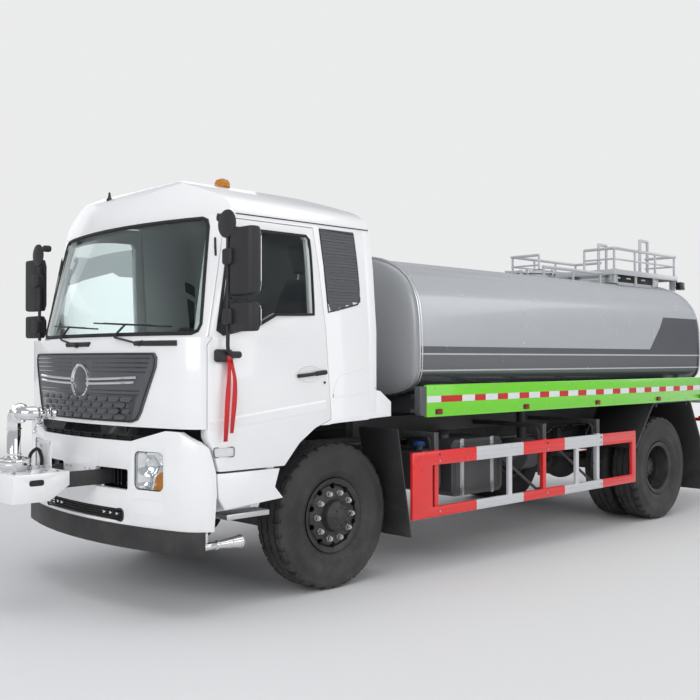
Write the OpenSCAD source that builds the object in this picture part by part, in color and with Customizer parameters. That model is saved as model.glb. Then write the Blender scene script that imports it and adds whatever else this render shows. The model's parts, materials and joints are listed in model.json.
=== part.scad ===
// Water tanker truck with a tilting cab, a rear platform and a front water monitor.
// +X is forward, +Y is the vehicle's left, +Z is up, z = 0 is the ground.
// Heights are measured from the ground. Most places along the truck are measured
// from the front axle or from the rear axle, by the modules at_front and at_rear.

/* [Vehicle] */
// Front face of the monitor bracket, ahead of the front axle
front_reach = 2030; // [1900:10:2300]
// Distance between the axles
wheelbase = 4500; // [4000:50:5400]
// Rear bumper, behind the rear axle
rear_reach = 2050; // [1900:50:2460]

/* [Wheels] */
// Radius of every tyre
tyre_r = 525; // [480:5:540]
// Width of one tyre
tyre_w = 280; // [240:5:290]
// Distance between the middle planes of the front wheels
front_track = 1920; // [1800:10:1960]
// Distance between the middle planes of the outer rear wheels
rear_track = 2170; // [2100:10:2200]
// Distance between the middle planes of a pair of twin wheels
twin_gap = 320; // [305:5:340]
// Distance between the two kingpins
kingpin_track = 1600; // [1500:10:1640]
// Radius of the rim under the tyre's bead
rim_r = 256; // [250:1:265]
// Radius of the wheel spindles
spindle_r = 42; // [30:1:50]

/* [Chassis] */
// Height of the frame's upper face
frame_top = 1000; // [980:5:1010]
// Height of a frame rail
rail_h = 250; // [220:5:260]
// Width over the frame rails
frame_w = 860; // [780:10:900]
// Width of a rail's flange
rail_flange = 80; // [60:5:90]
// Thickness of a rail's web and flanges
rail_t = 8; // [6:1:12]
// Height of the tank's subframe above the rails
subframe_h = 160; // [120:5:180]
// Radius of the rear axle's tube
axle_r = 70; // [60:1:75]

/* [Cab] */
// Width over the cab's sides
cab_width = 2380; // [2200:10:2500]
// Front of the cab, ahead of the front axle
cab_front = 1420; // [1400:5:1440]
// Rear wall of the cab, behind the front axle
cab_rear = 320; // [280:5:360]
// Height of the roof's crown
cab_top = 2990; // [2900:10:3200]
// Thickness of the cab's walls and doors
cab_wall = 60; // [40:2:70]
// Height of the floor's upper face
floor_z = 1290; // [1280:2:1300]
// Height of the lower edge of the windshield opening
sill_z = 1790; // [1760:5:1810]
// Height at which the roof panel begins
roof_z = 2600; // [2590:5:2620]
// Gap round a door
door_gap = 6; // [5:1:10]
// Angle to which a door opens
door_open = 65; // [40:1:70]
// Height of the cab's tilting axis
tilt_z = 1080; // [1060:5:1085]
// Cab's tilting axis, ahead of the front axle
tilt_x = 1320; // [1300:5:1330]

/* [Tank] */
// Front end of the tank, behind the front axle
tank_start = 780; // [740:10:900]
// Rear end of the tank, behind the rear axle
tank_overhang = 1000; // [800:10:1100]
// Width of the tank
tank_w = 2370; // [1980:10:2440]
// Height of the tank
tank_h = 1168; // [1000:4:1410]
// Height of the cradles between subframe and tank
cradle_h = 182; // [150:2:220]
// Height of the side skirts
skirt_h = 245; // [200:5:260]
// Outer face of the side skirts and side guards, from the middle
side_y = 1250; // [1240:5:1275]

/* [Side guards] */
// Height of the lower rail's lower edge
guard_low = 430; // [400:5:460]
// Height of the upper rail's upper edge
guard_high = 940; // [900:5:960]

/* [Front monitor] */
// Height of the bracket's upper face
bracket_top = 910; // [905:1:915]
// Width of the bracket
bracket_w = 540; // [450:10:560]
// Height of the barrel's pivot
barrel_z = 1295; // [1240:5:1320]
// Distance from the barrel's pivot to its muzzle
barrel_len = 195; // [150:5:200]

/* [Clearances] */
// Running clearance of pins and spindles
run_gap = 0.3; // [0.2:0.1:0.5]
// Clearance between pieces that move past each other
move_gap = 6; // [5:1:8]

/* [Hidden] */
$fn = 48;

overall_length = front_reach + wheelbase + rear_reach;
front_x = overall_length / 2 - front_reach;
rear_x = front_x - wheelbase;
rear_end = -rear_reach;
subframe_top = frame_top + subframe_h;
tank_bottom = subframe_top + cradle_h;
tank_top = tank_bottom + tank_h;
rail_bottom = frame_top - rail_h;
frame_y = frame_w / 2;
cab_y = cab_width / 2;
floor_t = 60;

// ---------- shared shapes ----------

// Places its children at the front axle or at the rear axle
module at_front() translate([front_x, 0, 0]) children();
module at_rear() translate([rear_x, 0, 0]) children();

// A block between two corners
module block(low, high) translate(low) cube(high - low);

// A left side piece and its mirror image on the right
module both_sides() {
    children();
    mirror([0, 1, 0]) children();
}

// An outline in the side view, as a plate between two values of y
module side_plate(outline, y0, y1)
    translate([0, y1, 0]) rotate([90, 0, 0]) linear_extrude(y1 - y0) polygon(outline);

// An outline in the front view, as a plate between two values of x
module front_plate(outline, x0, x1)
    translate([x0, 0, 0]) rotate([90, 0, 90]) linear_extrude(x1 - x0) polygon(outline);

// A round bar between two points
module bar(a, b, r) {
    d = b - a;
    translate(a)
        rotate([0, acos(d[2] / norm(d)), atan2(d[1], d[0])])
            cylinder(r = r, h = norm(d));
}

// A bent tube through a list of points
module tube(points, r) {
    for (i = [0 : len(points) - 2]) bar(points[i], points[i + 1], r);
    for (i = [1 : len(points) - 2]) translate(points[i]) sphere(r = r);
}

// A round bar along Y
module bar_y(x, z, y0, y1, r) bar([x, y0, z], [x, y1, z], r);

function unit(v) = v / norm(v);

// Moves every edge of a convex counter-clockwise outline inwards by d
function inset(points, d) = [
    for (i = [0 : len(points) - 1])
        let (
            n = len(points),
            a = unit(points[i] - points[(i + n - 1) % n]),
            b = unit(points[(i + 1) % n] - points[i]),
            na = [-a[1], a[0]],
            nb = [-b[1], b[0]]
        )
        points[i] + (na + nb) * d / (1 + na * nb)
];

// Points of an arc
function arc(centre, r, a0, a1, steps) = [
    for (i = [0 : steps]) centre + r * [cos(a0 + (a1 - a0) * i / steps), sin(a0 + (a1 - a0) * i / steps)]
];

// A rounded rectangle, counter-clockwise
function rounded_box(x0, x1, y0, y1, r) = concat(
    arc([x1 - r, y0 + r], r, -90, 0, 4),
    arc([x1 - r, y1 - r], r, 0, 90, 4),
    arc([x0 + r, y1 - r], r, 90, 180, 4),
    arc([x0 + r, y0 + r], r, 180, 270, 4)
);

// ---------- cab shell ----------

front_bow_r = 3435;
corner_r = 260;
upper_corner_r = 150;
rake = 12.8;
cowl_depth = 96;
door_front = 1165;

// Plan of the cab or bumper: a bowed front, round corners and straight sides
function plan(front, back, half_width, r) =
    let (
        cx = front - front_bow_r,
        fy = half_width - r,
        fx = cx + sqrt(pow(front_bow_r - r, 2) - pow(fy, 2)),
        a = atan2(fy, fx - cx)
    )
    concat(
        [[back, -half_width]],
        arc([fx, -fy], r, -90, -a, 5),
        arc([cx, 0], front_bow_r, -a * 0.9, a * 0.9, 9),
        arc([fx, fy], r, a, 90, 5),
        [[back, half_width]]
    );

// Side view of the cab's upper part, from the sill to the crown
cab_side = [
    [-cab_rear, 900],
    [1500, 900],
    [1500, 2000],
    [1150, 2670],
    [1122, 2745],
    [1060, 2820],
    [950, 2885],
    [780, cab_top - 55],
    [540, cab_top - 18],
    [250, cab_top],
    [0, cab_top - 22],
    [-140, cab_top - 70],
    [-230, cab_top - 145],
    [-cab_rear + 28, cab_top - 255],
    [-cab_rear + 12, 2600],
    [-cab_rear, 2400]
];

// Half of the front view, as distances inwards from the side, and heights
cab_edge = [
    [0, 900],
    [0, 1850],
    [35, 2300],
    [72, roof_z],
    [88, cab_top - 345],
    [118, cab_top - 305],
    [170, cab_top - 268],
    [260, cab_top - 232],
    [440, cab_top - 174],
    [680, cab_top - 102],
    [900, cab_top - 48]
];
cab_section = concat(
    [for (p = cab_edge) [cab_y - p[0], p[1]]],
    [[0, cab_top]],
    [for (i = [len(cab_edge) - 1 : -1 : 0]) [cab_edge[i][0] - cab_y, cab_edge[i][1]]]
);

// The cab below the windshield
module cab_lower(d) {
    intersection() {
        translate([0, 0, 800]) linear_extrude(sill_z - 800)
            polygon(inset(plan(cab_front, -cab_rear, cab_y, corner_r), d));
        side_plate(inset([
            [-cab_rear, 600],
            [cab_front + 20, 600],
            [cab_front, 1300],
            [cab_front - 30, sill_z - 130],
            [cab_front - 55, sill_z - 75],
            [cab_front - cowl_depth, sill_z],
            [-cab_rear, sill_z]
        ], d), -1600, 1600);
    }
}

// The cab from the windshield's lower edge up, leaning back by the rake
module cab_upper(d, base = 0) {
    intersection() {
        translate([0, 0, sill_z])
            rotate([0, -rake, 0])
                translate([0, 0, -600]) linear_extrude(2200)
                    polygon(inset(plan((cab_front - cowl_depth) * cos(rake), -1200, cab_y, upper_corner_r), d));
        side_plate(inset(cab_side, d), -1600, 1600);
        front_plate(inset(cab_section, d), -600, 1600);
        translate([-600, -1600, sill_z - base]) cube([2400, 3200, 1600]);
    }
}

module cab_outer(d = 0) {
    cab_lower(d);
    cab_upper(d);
}

module cab_inner() {
    cab_lower(cab_wall);
    cab_upper(cab_wall, cab_wall + 40);
}

module cab_shell() {
    difference() {
        cab_outer();
        cab_inner();
        block([-cab_rear - 100, -cab_y + cab_wall, 700], [1300, cab_y - cab_wall, 900 + cab_wall + 5]);
    }
}

// Opening over the front wheel, in the side view
arch_outline = [
    [-700, 300], [600, 300], [600, 700], [645, 780], [560, 930], [425, 1070],
    [280, 1165], [130, 1195], [50, 1200], [-700, 1225]
];

// A door's outline, in the side view
door_outline = [
    [130, 1225], [280, 1170], [425, 1075], [560, 930], [1100, 930], [1130, 1060],
    [door_front, 1150], [door_front, 1740], [door_front - 35, 1800], [door_front - 192, 2570], [245, 2570]
];

// Hinge axis of the doors, and the radius that a door's front edge sweeps inside the cab
hinge_x = 1115;
hinge_y = cab_y - 4;
corner_x = cab_front - front_bow_r + sqrt(pow(front_bow_r - corner_r, 2) - pow(cab_y - corner_r, 2));
door_edge_y = cab_y - corner_r + sqrt(pow(corner_r - cab_wall, 2) - pow(door_front - corner_x, 2));
swing_r = norm([door_front - hinge_x, hinge_y - door_edge_y]) + move_gap;

// A door's window, in the side view
window_outline = [
    [305, 1965], [640, 1955], [790, 1875], [1055, 1815], [1078, 1840], [962, 2450],
    [925, 2495], [330, 2495], [305, 2470]
];

// The windshield's opening, in the front view
windshield_outline = [
    [-970, 1822], [970, 1822], [1011, 1838], [1026, 1880], [945, 2510], [925, 2555],
    [885, 2572], [-885, 2572], [-925, 2555], [-945, 2510], [-1026, 1880], [-1011, 1838]
];

front_split_x = 700;
panel_top = sill_z - 4;
cab_bottom_z = 1190;
back_split_x = -cab_rear + cab_wall + 20;

module cab_roof() at_front() color("white")
    intersection() {
        cab_shell();
        block([-600, -1600, roof_z], [1600, 1600, cab_top + 50]);
    }

module cab_back_wall() at_front() color("white")
    difference() {
        intersection() {
            cab_shell();
            block([-600, -1600, 1270], [back_split_x, 1600, roof_z]);
        }
        block([-600, -tunnel_w / 2, 1000], [0, tunnel_w / 2, tunnel_top]);
    }

// The front below the windshield, with the corners ahead of the doors
module cab_front_panel() at_front() color("white")
    difference() {
        intersection() {
            cab_shell();
            block([front_split_x, -1600, 1000], [1600, 1600, panel_top]);
        }
        block([0, -1600, 0], [1600, 1600, cab_bottom_z + 15]);
        both_sides() side_plate(door_outline, 850, 1600);
    }

// Pillars, quarter panels and the frames round doors and windshield, one ring
module cab_side_frames() at_front() color("white")
    difference() {
        union() {
            intersection() {
                cab_shell();
                union() {
                    block([back_split_x, -1600, 900], [front_split_x, 1600, roof_z]);
                    block([back_split_x, -1600, panel_top], [1600, 1600, roof_z]);
                }
            }
            both_sides() side_plate([
                [-cab_rear, 1270], [-cab_rear, 1420], [-360, 1414], [-475, 1330], [-475, 1225], [-250, 1215],
                [back_split_x, 1215], [back_split_x, 1270]
            ], cab_y - cab_wall, cab_y);
        }
        both_sides() {
            side_plate(door_outline, 850, 1600);
            side_plate(arch_outline, 850, 1600);
        }
        front_plate(windshield_outline, 850, 1600);
        block([0, -1600, 0], [1600, 1600, 1190]);
    }

module windshield() at_front() color("lightblue", 0.4)
    intersection() {
        difference() {
            cab_upper(20);
            cab_upper(28);
        }
        front_plate(windshield_outline, 850, 1600);
    }

lining_t = 35;
door_inner_y = cab_y - cab_wall - lining_t;

module door() at_front() {
    difference() {
        union() {
            intersection() {
                cab_shell();
                side_plate(inset(door_outline, door_gap), 850, 1600);
            }
            // Inner lining below the window
            side_plate(inset([
                [180, 1300], [430, 1170], [600, 990], [1040, 990], [1060, 1150], [1060, 1760], [640, 1900], [290, 1920]
            ], 0), door_inner_y, cab_y - cab_wall);
        }
        side_plate(window_outline, 850, 1600);
        block([door_front - 200, 800, 1650], [door_front + 10, door_edge_y, sill_z + 5]);
    }
}

module door_glass() at_front()
    intersection() {
        difference() {
            cab_outer(25);
            cab_outer(31);
        }
        side_plate(window_outline, 850, 1600);
    }

module door_left() color("white") door();
module door_right() color("white") mirror([0, 1, 0]) door();
module door_glass_left() color("lightblue", 0.4) door_glass();
module door_glass_right() color("lightblue", 0.4) mirror([0, 1, 0]) door_glass();

// ---------- cab floor and inside ----------

tunnel_w = 800;
tunnel_top = 1460;
tunnel_front = 760;
tunnel_t = 20;
tilt_pin_r = 20;
tilt_ear_t = 20;
tilt_ear_y = frame_y + 5;

module cab_floor() at_front() color("dimgray") {
    difference() {
        union() {
            intersection() {
                cab_lower(cab_wall);
                block([back_split_x, -cab_y + cab_wall, floor_z - floor_t], [door_front + 100, cab_y - cab_wall, floor_z]);
            }
            block([back_split_x, -tunnel_w / 2, floor_z - floor_t], [tunnel_front, tunnel_w / 2, tunnel_top]);
        }
        block([-600, -tunnel_w / 2 + tunnel_t, 0], [tunnel_front - tunnel_t, tunnel_w / 2 - tunnel_t, tunnel_top - tunnel_t]);
        both_sides() side_plate(door_outline, door_inner_y - door_gap, 1600);
        both_sides() translate([hinge_x, hinge_y, 0]) cylinder(r = swing_r, h = roof_z);
    }
    both_sides() difference() {
        side_plate([
            [1190, floor_z - floor_t], [tilt_x - 32, tilt_z - 15], [tilt_x - 15, tilt_z - 32], [tilt_x + 15, tilt_z - 32],
            [tilt_x + 32, tilt_z - 15], [tilt_x + 32, tilt_z + 5], [1262, floor_z - floor_t]
        ], tilt_ear_y, tilt_ear_y + tilt_ear_t);
        bar_y(tilt_x, tilt_z, tilt_ear_y - 10, tilt_ear_y + 40, tilt_pin_r + run_gap);
    }
}

dash_back = 860;
column_r = 22;
wheel_at = [730, 520, 1800];
column_dir = [sin(28), 0, -cos(28)];

module dashboard() at_front() color("dimgray")
    difference() {
        intersection() {
            cab_lower(cab_wall);
            side_plate([
                [dash_back + 60, 1450], [1340, 1450], [1340, sill_z - 15], [dash_back + 60, sill_z - 15], [dash_back, 1700], [dash_back, 1560]
            ], -(hinge_y - swing_r), hinge_y - swing_r);
        }
        bar(wheel_at + column_dir * 200, wheel_at + column_dir * 340, column_r + run_gap);
    }

module steering_wheel() at_front() color("black")
    translate(wheel_at) rotate([0, 180 - 28, 0]) {
        rotate_extrude() translate([215, 0]) circle(r = 16, $fn = 24);
        translate([0, 0, -10]) cylinder(r = 55, h = 40);
        translate([0, 0, 20]) cylinder(r = column_r, h = 310);
        for (a = [45, 135, 225, 315]) rotate([0, 0, a]) translate([40, -14, -6]) cube([165, 28, 14]);
    }

seat_y = 520;
seat_w = 500;

module seat(y) {
    translate([0, y, 0]) {
        block([0, -seat_w / 2 + 130, floor_z], [400, seat_w / 2 - 20, 1560]);
        side_plate(rounded_box(-60, 450, 1560, 1700, 45), -seat_w / 2, seat_w / 2);
        side_plate([
            [-65, 1700], [70, 1700], [20, 1900], [-40, 2300], [-110, 2300], [-150, 1900]
        ], -seat_w / 2 + 20, seat_w / 2 - 20);
        side_plate(rounded_box(-125, -45, 2300, 2470, 30), -130, 130);
    }
}

module seats() at_front() color("darkslategray") {
    seat(seat_y);
    mirror([0, 1, 0]) seat(seat_y);
}

// ---------- outside of the cab ----------

module beacon() at_front() color("orange")
    difference() {
        translate([200, 0, cab_top - 30]) {
            cylinder(r = 72, h = 48);
            cylinder(r = 58, h = 85);
            translate([0, 0, 85]) cylinder(r1 = 58, r2 = 40, h = 25);
        }
        cab_upper(0);
    }

// The dark grille tray, standing a little proud of the front panel
grille_proud = 14;
grille_outline = [
    [-600, 1232], [600, 1232], [655, 1250], [690, 1300], [817, 1600], [822, 1660], [800, 1692],
    [-800, 1692], [-822, 1660], [-817, 1600], [-690, 1300], [-655, 1250]
];

module grille_panel() at_front() color("slategray")
    intersection() {
        difference() {
            cab_lower(-grille_proud);
            cab_lower(0);
        }
        front_plate(grille_outline, 1000, 1600);
    }

arch_t = 22;
arch_in_y = 700;
arch_out_y = door_inner_y - 10;
step_in_y = 1000;

// Liners over the front wheels, and the fairings over the steps
module wheel_arches() at_front() color("white")
    both_sides() {
        side_plate([
            [-330, floor_z - floor_t], [300, floor_z - floor_t], [470, 1110], [620, 950], [690, 800], [690, 700],
            [606, 700], [645, 780], [560, 930], [425, 1070], [280, 1165], [130, 1195], [50, 1200], [-330, 1210]
        ], arch_in_y, arch_out_y);
        side_plate([
            [570, 722], [1048, 690], [1098, 770], [1108, 922], [600, 922], [640, 800]
        ], cab_y - 34, cab_y - 4);
    }

// Step wells below the doors with an aluminium lower step
module cab_steps() at_front() color("silver")
    both_sides() {
        block([700, step_in_y, 902], [1090, cab_y - 34, 922]);
        block([700, step_in_y - 12, 615], [1000, step_in_y, floor_z - floor_t]);
        block([660, step_in_y, 615], [1010, cab_y - 40, 650]);
    }

mirror_x = 1100;
mirror_y = 1275;

// A door mirror: arm with two feet, main and lower housings, and a round kerb mirror
module mirror_side() at_front() {
    difference() {
        union() {
            tube([
                [1070, 1120, 2475], [mirror_x, mirror_y, 2490], [mirror_x, mirror_y, 1800],
                [mirror_x - 10, mirror_y - 20, 1715], [1080, 1150, 1665]
            ], 15);
            block([1040, 1120, 2450], [1090, 1150, 2510]);
            block([1040, 1150, 1630], [1120, 1205, 1720]);
        }
        cab_outer();
    }
    translate([0, 0, 2042]) linear_extrude(428) polygon(rounded_box(mirror_x - 85, mirror_x + 15, mirror_y + 17, 1530, 30));
    translate([0, 0, 1825]) linear_extrude(180) polygon(rounded_box(mirror_x - 85, mirror_x + 15, mirror_y + 17, 1535, 30));
    translate([mirror_x, mirror_y, 2290]) block([-25, -20, -35], [25, 17, 35]);
    translate([mirror_x, mirror_y, 1915]) block([-25, -20, -35], [25, 17, 35]);
    translate([mirror_x + 5, mirror_y - 30, 2545]) rotate([90, 0, 45]) cylinder(r = 85, h = 28, center = true);
    bar([mirror_x, mirror_y, 2490], [mirror_x + 5, mirror_y - 25, 2545], 12);
}

module mirror_left() color("black") mirror_side();
module mirror_right() color("black") mirror([0, 1, 0]) mirror_side();

// ---------- front bumper ----------

bumper_front = 1435;
bumper_z = 560;
bumper_t = 40;
lamp_y = [630, 885];
lamp_z = [800, 1050];

module bumper_block(d) {
    intersection() {
        translate([0, 0, bumper_z - 200]) linear_extrude(1000)
            polygon(inset(plan(bumper_front, 900, cab_y + 8, corner_r), d));
        front_plate([
            [-1300, bumper_z], [1300, bumper_z], [1300, 1040], [1198, 1066], [1010, 1185], [900, 1190],
            [600, 1112], [-600, 1112], [-900, 1190], [-1010, 1185], [-1198, 1066], [-1300, 1040]
        ], 900, 1600);
        side_plate([
            [1128, bumper_z], [1600, bumper_z], [1600, 1300], [1225, 1300], [1185, 1150], [1150, 1060], [1118, 930], [1113, 800]
        ], -1300, 1300);
    }
}

// An opening in the front, in the front view
module front_window(y0, y1, z0, z1, r) front_plate(rounded_box(y0, y1, z0, z1, r), 1100, 1600);

module front_bumper() at_front() color("white") {
    difference() {
        bumper_block(0);
        bumper_inner();
        both_sides() {
            front_window(225, 570, 790, 925, 15);
            front_window(lamp_y[0], lamp_y[1], lamp_z[0], lamp_z[1], 40);
        }
        front_window(-530, 530, 580, 660, 30);
    }
    // Brackets back to the frame
    both_sides() intersection() {
        bumper_block(10);
        block([rail_front, 290, 935], [bumper_front, frame_y - 35, 985]);
    }
}

// Space behind the bumper's skin
module bumper_inner()
    translate([0, 0, bumper_z - 200]) linear_extrude(1000)
        polygon(concat(inset(plan(bumper_front, 900, cab_y + 8, corner_r), bumper_t), [[800, cab_y - 40], [800, 40 - cab_y]]));

module headlamps() at_front() color("whitesmoke")
    both_sides() intersection() {
        difference() {
            bumper_block(6);
            bumper_block(90);
        }
        front_window(lamp_y[0], lamp_y[1], lamp_z[0], lamp_z[1], 40);
    }

module underrun_bar() at_front() color("black")
    intersection() {
        translate([0, 0, 410]) linear_extrude(bumper_z - 410)
            difference() {
                polygon(plan(bumper_front + 5, 900, cab_y + 12, corner_r));
                polygon(inset(plan(bumper_front + 5, 900, cab_y + 12, corner_r), 90));
            }
        block([1180, -1300, 400], [1600, 1300, 600]);
    }

// ---------- front monitor and nozzles ----------

monitor_x = 1900;
bracket_back = 1640;
pivot_r = 30;

module monitor_bracket() at_front() color("whitesmoke") {
    difference() {
        side_plate([
            [bracket_back, bracket_top - 90], [1780, 725], [front_reach, 725], [front_reach, bracket_top],
            [bracket_back, bracket_top]
        ], -bracket_w / 2, bracket_w / 2);
        side_plate([
            [bracket_back - 5, bracket_top - 200], [front_reach - 6, 700], [front_reach - 6, bracket_top - 6],
            [bracket_back - 5, bracket_top - 6]
        ], -bracket_w / 2 + 6, bracket_w / 2 - 6);
        for (s = [-1, 1]) translate([1870, s * bracket_w / 2, 850]) rotate([90, 0, 0])
            linear_extrude(40, center = true) polygon(rounded_box(-45, 45, -14, 14, 13));
    }
    translate([monitor_x, 0, bracket_top]) cylinder(r = pivot_r, h = 40);
    block([1660, -150, bracket_top], [1666, 60, bracket_top + 190]);
}

bend_r = 70;
riser_r = 45;
swivel_y = bend_r + 14;

// A quarter bend of a round pipe, from +X towards +Y
module pipe_bend(r) rotate_extrude(angle = 90) translate([bend_r, 0]) circle(r = r);

// Base, riser and lower elbow, which swivel about the vertical
module monitor_elbow() at_front() color("silver")
    translate([monitor_x, 0, 0]) {
        difference() {
            union() {
                translate([0, 0, bracket_top + run_gap]) cylinder(r1 = 75, r2 = 105, h = 40);
                translate([0, 0, bracket_top + run_gap + 40]) cylinder(r = 105, h = 40);
            }
            translate([0, 0, bracket_top - 1]) cylinder(r = pivot_r + run_gap, h = 42);
        }
        bar([0, 0, bracket_top + run_gap + 80], [0, 0, barrel_z - bend_r], riser_r);
        translate([0, bend_r, barrel_z - bend_r]) rotate([90, 0, 90]) rotate([0, 0, 90]) pipe_bend(riser_r);
        bar([0, bend_r, barrel_z], [0, swivel_y, barrel_z], riser_r + 16);
    }

// Upper elbow and barrel, which tilt about the swivel between the elbows
module monitor_barrel() at_front() color("silver")
    translate([monitor_x, swivel_y + run_gap, barrel_z]) {
        bar([0, 0, 0], [0, 14, 0], riser_r + 16);
        translate([-bend_r, 14, 0]) pipe_bend(riser_r);
        bar([-bend_r, 14 + bend_r, 0], [-barrel_len, 14 + bend_r, 0], 36);
    }

module spray_nozzles() color("silver") {
    at_front() both_sides() {
        bar([1180, 1110, 460], [1080, 1110, 460], 24);
        translate([1100, 1110, 460]) rotate([0, -90, 0]) cylinder(r1 = 18, r2 = 42, h = 230);
    }
    at_rear() difference() {
        both_sides() {
            bar([spray_bar_x, 700, spray_bar_z], [spray_bar_x, 700, spray_bar_z - 80], 24);
            translate([spray_bar_x, 700, spray_bar_z - 70]) rotate([180, 0, 0]) cylinder(r1 = 20, r2 = 60, h = 90);
        }
        bar_y(spray_bar_x, spray_bar_z, -750, 750, spray_bar_r);
    }
}

// ---------- frame, axles and springs ----------

rail_front = 1200;
rail_end = rear_end + 100;

module rail(x0, x1) difference() {
    block([x0, frame_y - rail_flange, rail_bottom], [x1, frame_y, frame_top]);
    block([x0 - 1, frame_y - rail_flange - 1, rail_bottom + rail_t], [x1 + 1, frame_y - rail_t, frame_top - rail_t]);
}

member_z = [rail_bottom + 30, rail_bottom + 130];

member_y = frame_y - rail_t - run_gap;

// Riveted between the rails, a running gap short of their webs
module cross_member(x)
    block([x - 40, -member_y, member_z[0]], [x + 40, member_y, member_z[1]]);

ear_t = 25;
horn_member_y = frame_y - ear_t - run_gap;

module chassis_frame() color("dimgray") {
    both_sides() rail(rear_x + rail_end, front_x + rail_front);
    at_front() {
        block([rail_front - 60, -horn_member_y, rail_bottom + rail_t + run_gap], [rail_front, horn_member_y, frame_top - rail_t - run_gap]);
        for (x = [-1450, -2600]) cross_member(x);
        both_sides() {
            // Horns that carry the monitor bracket
            block([rail_front, 240, 800], [1700, 255, bracket_top - 6 - run_gap]);
            // Ears and pins of the cab's tilting axis
            side_plate([
                [rail_front, 900], [tilt_x + 30, tilt_z - 20], [tilt_x + 30, tilt_z + 20], [tilt_x - 20, tilt_z + 30], [rail_front - 60, frame_top],
                [rail_front - 60, 900]
            ], frame_y - ear_t, frame_y);
            bar_y(tilt_x, tilt_z, frame_y - 10, tilt_ear_y + tilt_ear_t + 5, tilt_pin_r);
            // Rear mounts of the cab
            block([-230, frame_y - 75, frame_top], [-170, frame_y, floor_z - floor_t - run_gap]);
        }
    }
    at_rear() for (x = [850, -750]) cross_member(x);
    at_rear() cross_member(rail_end + 45);
}

tow_x = rear_end + 50;
tow_r = 22;

beam_z = 400;
kingpin_y = kingpin_track / 2;
boss_h = 110;

// Dropped beam with a bored boss at each end
module front_axle_beam() at_front() color("dimgray")
    difference() {
        union() {
            block([-45, -560, beam_z - 45], [45, 560, beam_z + 45]);
            both_sides() {
                front_plate([
                    [540, beam_z - 45], [560, beam_z - 45], [kingpin_y - 55, tyre_r - 48], [kingpin_y - 10, tyre_r - 48],
                    [kingpin_y - 10, tyre_r + 45], [540, beam_z + 45]
                ], -45, 45);
                translate([0, kingpin_y, tyre_r - boss_h / 2]) cylinder(r = 44, h = boss_h);
            }
        }
        both_sides() translate([0, kingpin_y, 0]) cylinder(r = 20 + run_gap, h = 1000);
    }

ear_h = 32;

module knuckle() at_front() {
    translate([0, kingpin_y, tyre_r - boss_h / 2 - ear_h - 1]) cylinder(r = 20, h = boss_h + 2 * ear_h + 2);
    for (z = [tyre_r - boss_h / 2 - ear_h - 1, tyre_r + boss_h / 2 + 1]) {
        translate([0, kingpin_y, z]) cylinder(r = 44, h = ear_h);
        block([-40, kingpin_y, z], [40, kingpin_y + 75, z + ear_h]);
    }
    block([-50, kingpin_y + 52, tyre_r - boss_h / 2 - ear_h - 1], [50, kingpin_y + 75, tyre_r + boss_h / 2 + ear_h + 1]);
    bar([0, kingpin_y + 60, tyre_r], [0, front_track / 2 + 120, tyre_r], spindle_r);
}

module knuckle_left() color("dimgray") knuckle();
module knuckle_right() color("dimgray") mirror([0, 1, 0]) knuckle();

// Leaf pack, arched between its two eyes
module leaf_pack(half, low, rise, thick, y0, y1)
    side_plate(concat(
        [for (i = [-6 : 6]) [half * i / 6, low + rise * i * i / 36]],
        [for (i = [6 : -1 : -6]) [half * i / 6, low + thick * (1.35 - abs(i) / 8) + rise * i * i / 36]]
    ), y0, y1);

spring_front_half = 740;
spring_rear_half = 800;

module leaf_springs() color("dimgray")
    both_sides() {
        at_front() {
            leaf_pack(spring_front_half, beam_z + 45, 130, 50, frame_y - 78, frame_y - 2);
            for (x = [-1, 1]) block(
                [x * spring_front_half - 30, frame_y - 78, beam_z + 45 + 130],
                [x * spring_front_half + 30, frame_y - 2, rail_bottom]
            );
        }
        at_rear() {
            leaf_pack(spring_rear_half, tyre_r + axle_r, 60, 60, frame_y + 15, frame_y + 95);
            for (x = [-1, 1]) block(
                [x * spring_rear_half - 30, frame_y, tyre_r + axle_r + 60],
                [x * spring_rear_half + 30, frame_y + 95, frame_top - 60]
            );
        }
    }

hub_end = rear_track / 2 - twin_gap / 2 + 60;

module rear_axle_housing() at_rear() color("dimgray") {
    bar([0, -hub_in_y, tyre_r], [0, hub_in_y, tyre_r], axle_r);
    bar([0, -hub_end, tyre_r], [0, hub_end, tyre_r], spindle_r);
    translate([0, 0, tyre_r]) sphere(r = 205);
    bar([0, 0, nose_z], [nose_end, 0, nose_z], 90);
}

nose_end = 290;
nose_z = tyre_r + 10;
hub_in_y = rear_track / 2 - twin_gap - tyre_w / 2 + 10;

gearbox_end = -1100;
shaft_z = 690;

module engine_block() at_front() color("gray") {
    block([-230, -310, 620], [730, 310, tunnel_top - tunnel_t - 30]);
    block([730, -250, 700], [900, 250, 1180]);
    side_plate([[-230, 600], [-230, 960], [-600, 900], [gearbox_end, 800], [gearbox_end, 600], [-600, 560]], -180, 180);
    // Feet on the rails
    both_sides() block([100, 300, frame_top], [220, frame_y - 10, frame_top + 60]);
    both_sides() block([100, 300, frame_top + 60], [220, 310, frame_top + 62]);
}

module propeller_shaft() color("dimgray")
    intersection() {
        bar([front_x + gearbox_end + 40, 0, shaft_z + 2], [rear_x + nose_end - 40, 0, nose_z - 2], 45);
        block([rear_x + nose_end, -60, 0], [front_x + gearbox_end, 60, frame_top]);
    }

// ---------- wheels ----------

// Half a tyre's section: radius and distance from the middle plane
tyre_half = [
    [rim_r, 0.34], [300, 0.44], [400, 0.5], [475, 0.47], [tyre_r - 12, 0.40], [tyre_r, 0.36]
];
tyre_section = concat(
    [for (p = tyre_half) [p[0], p[1] * tyre_w]],
    [for (i = [len(tyre_half) - 1 : -1 : 0]) [tyre_half[i][0], -tyre_half[i][1] * tyre_w]]
);

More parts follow.
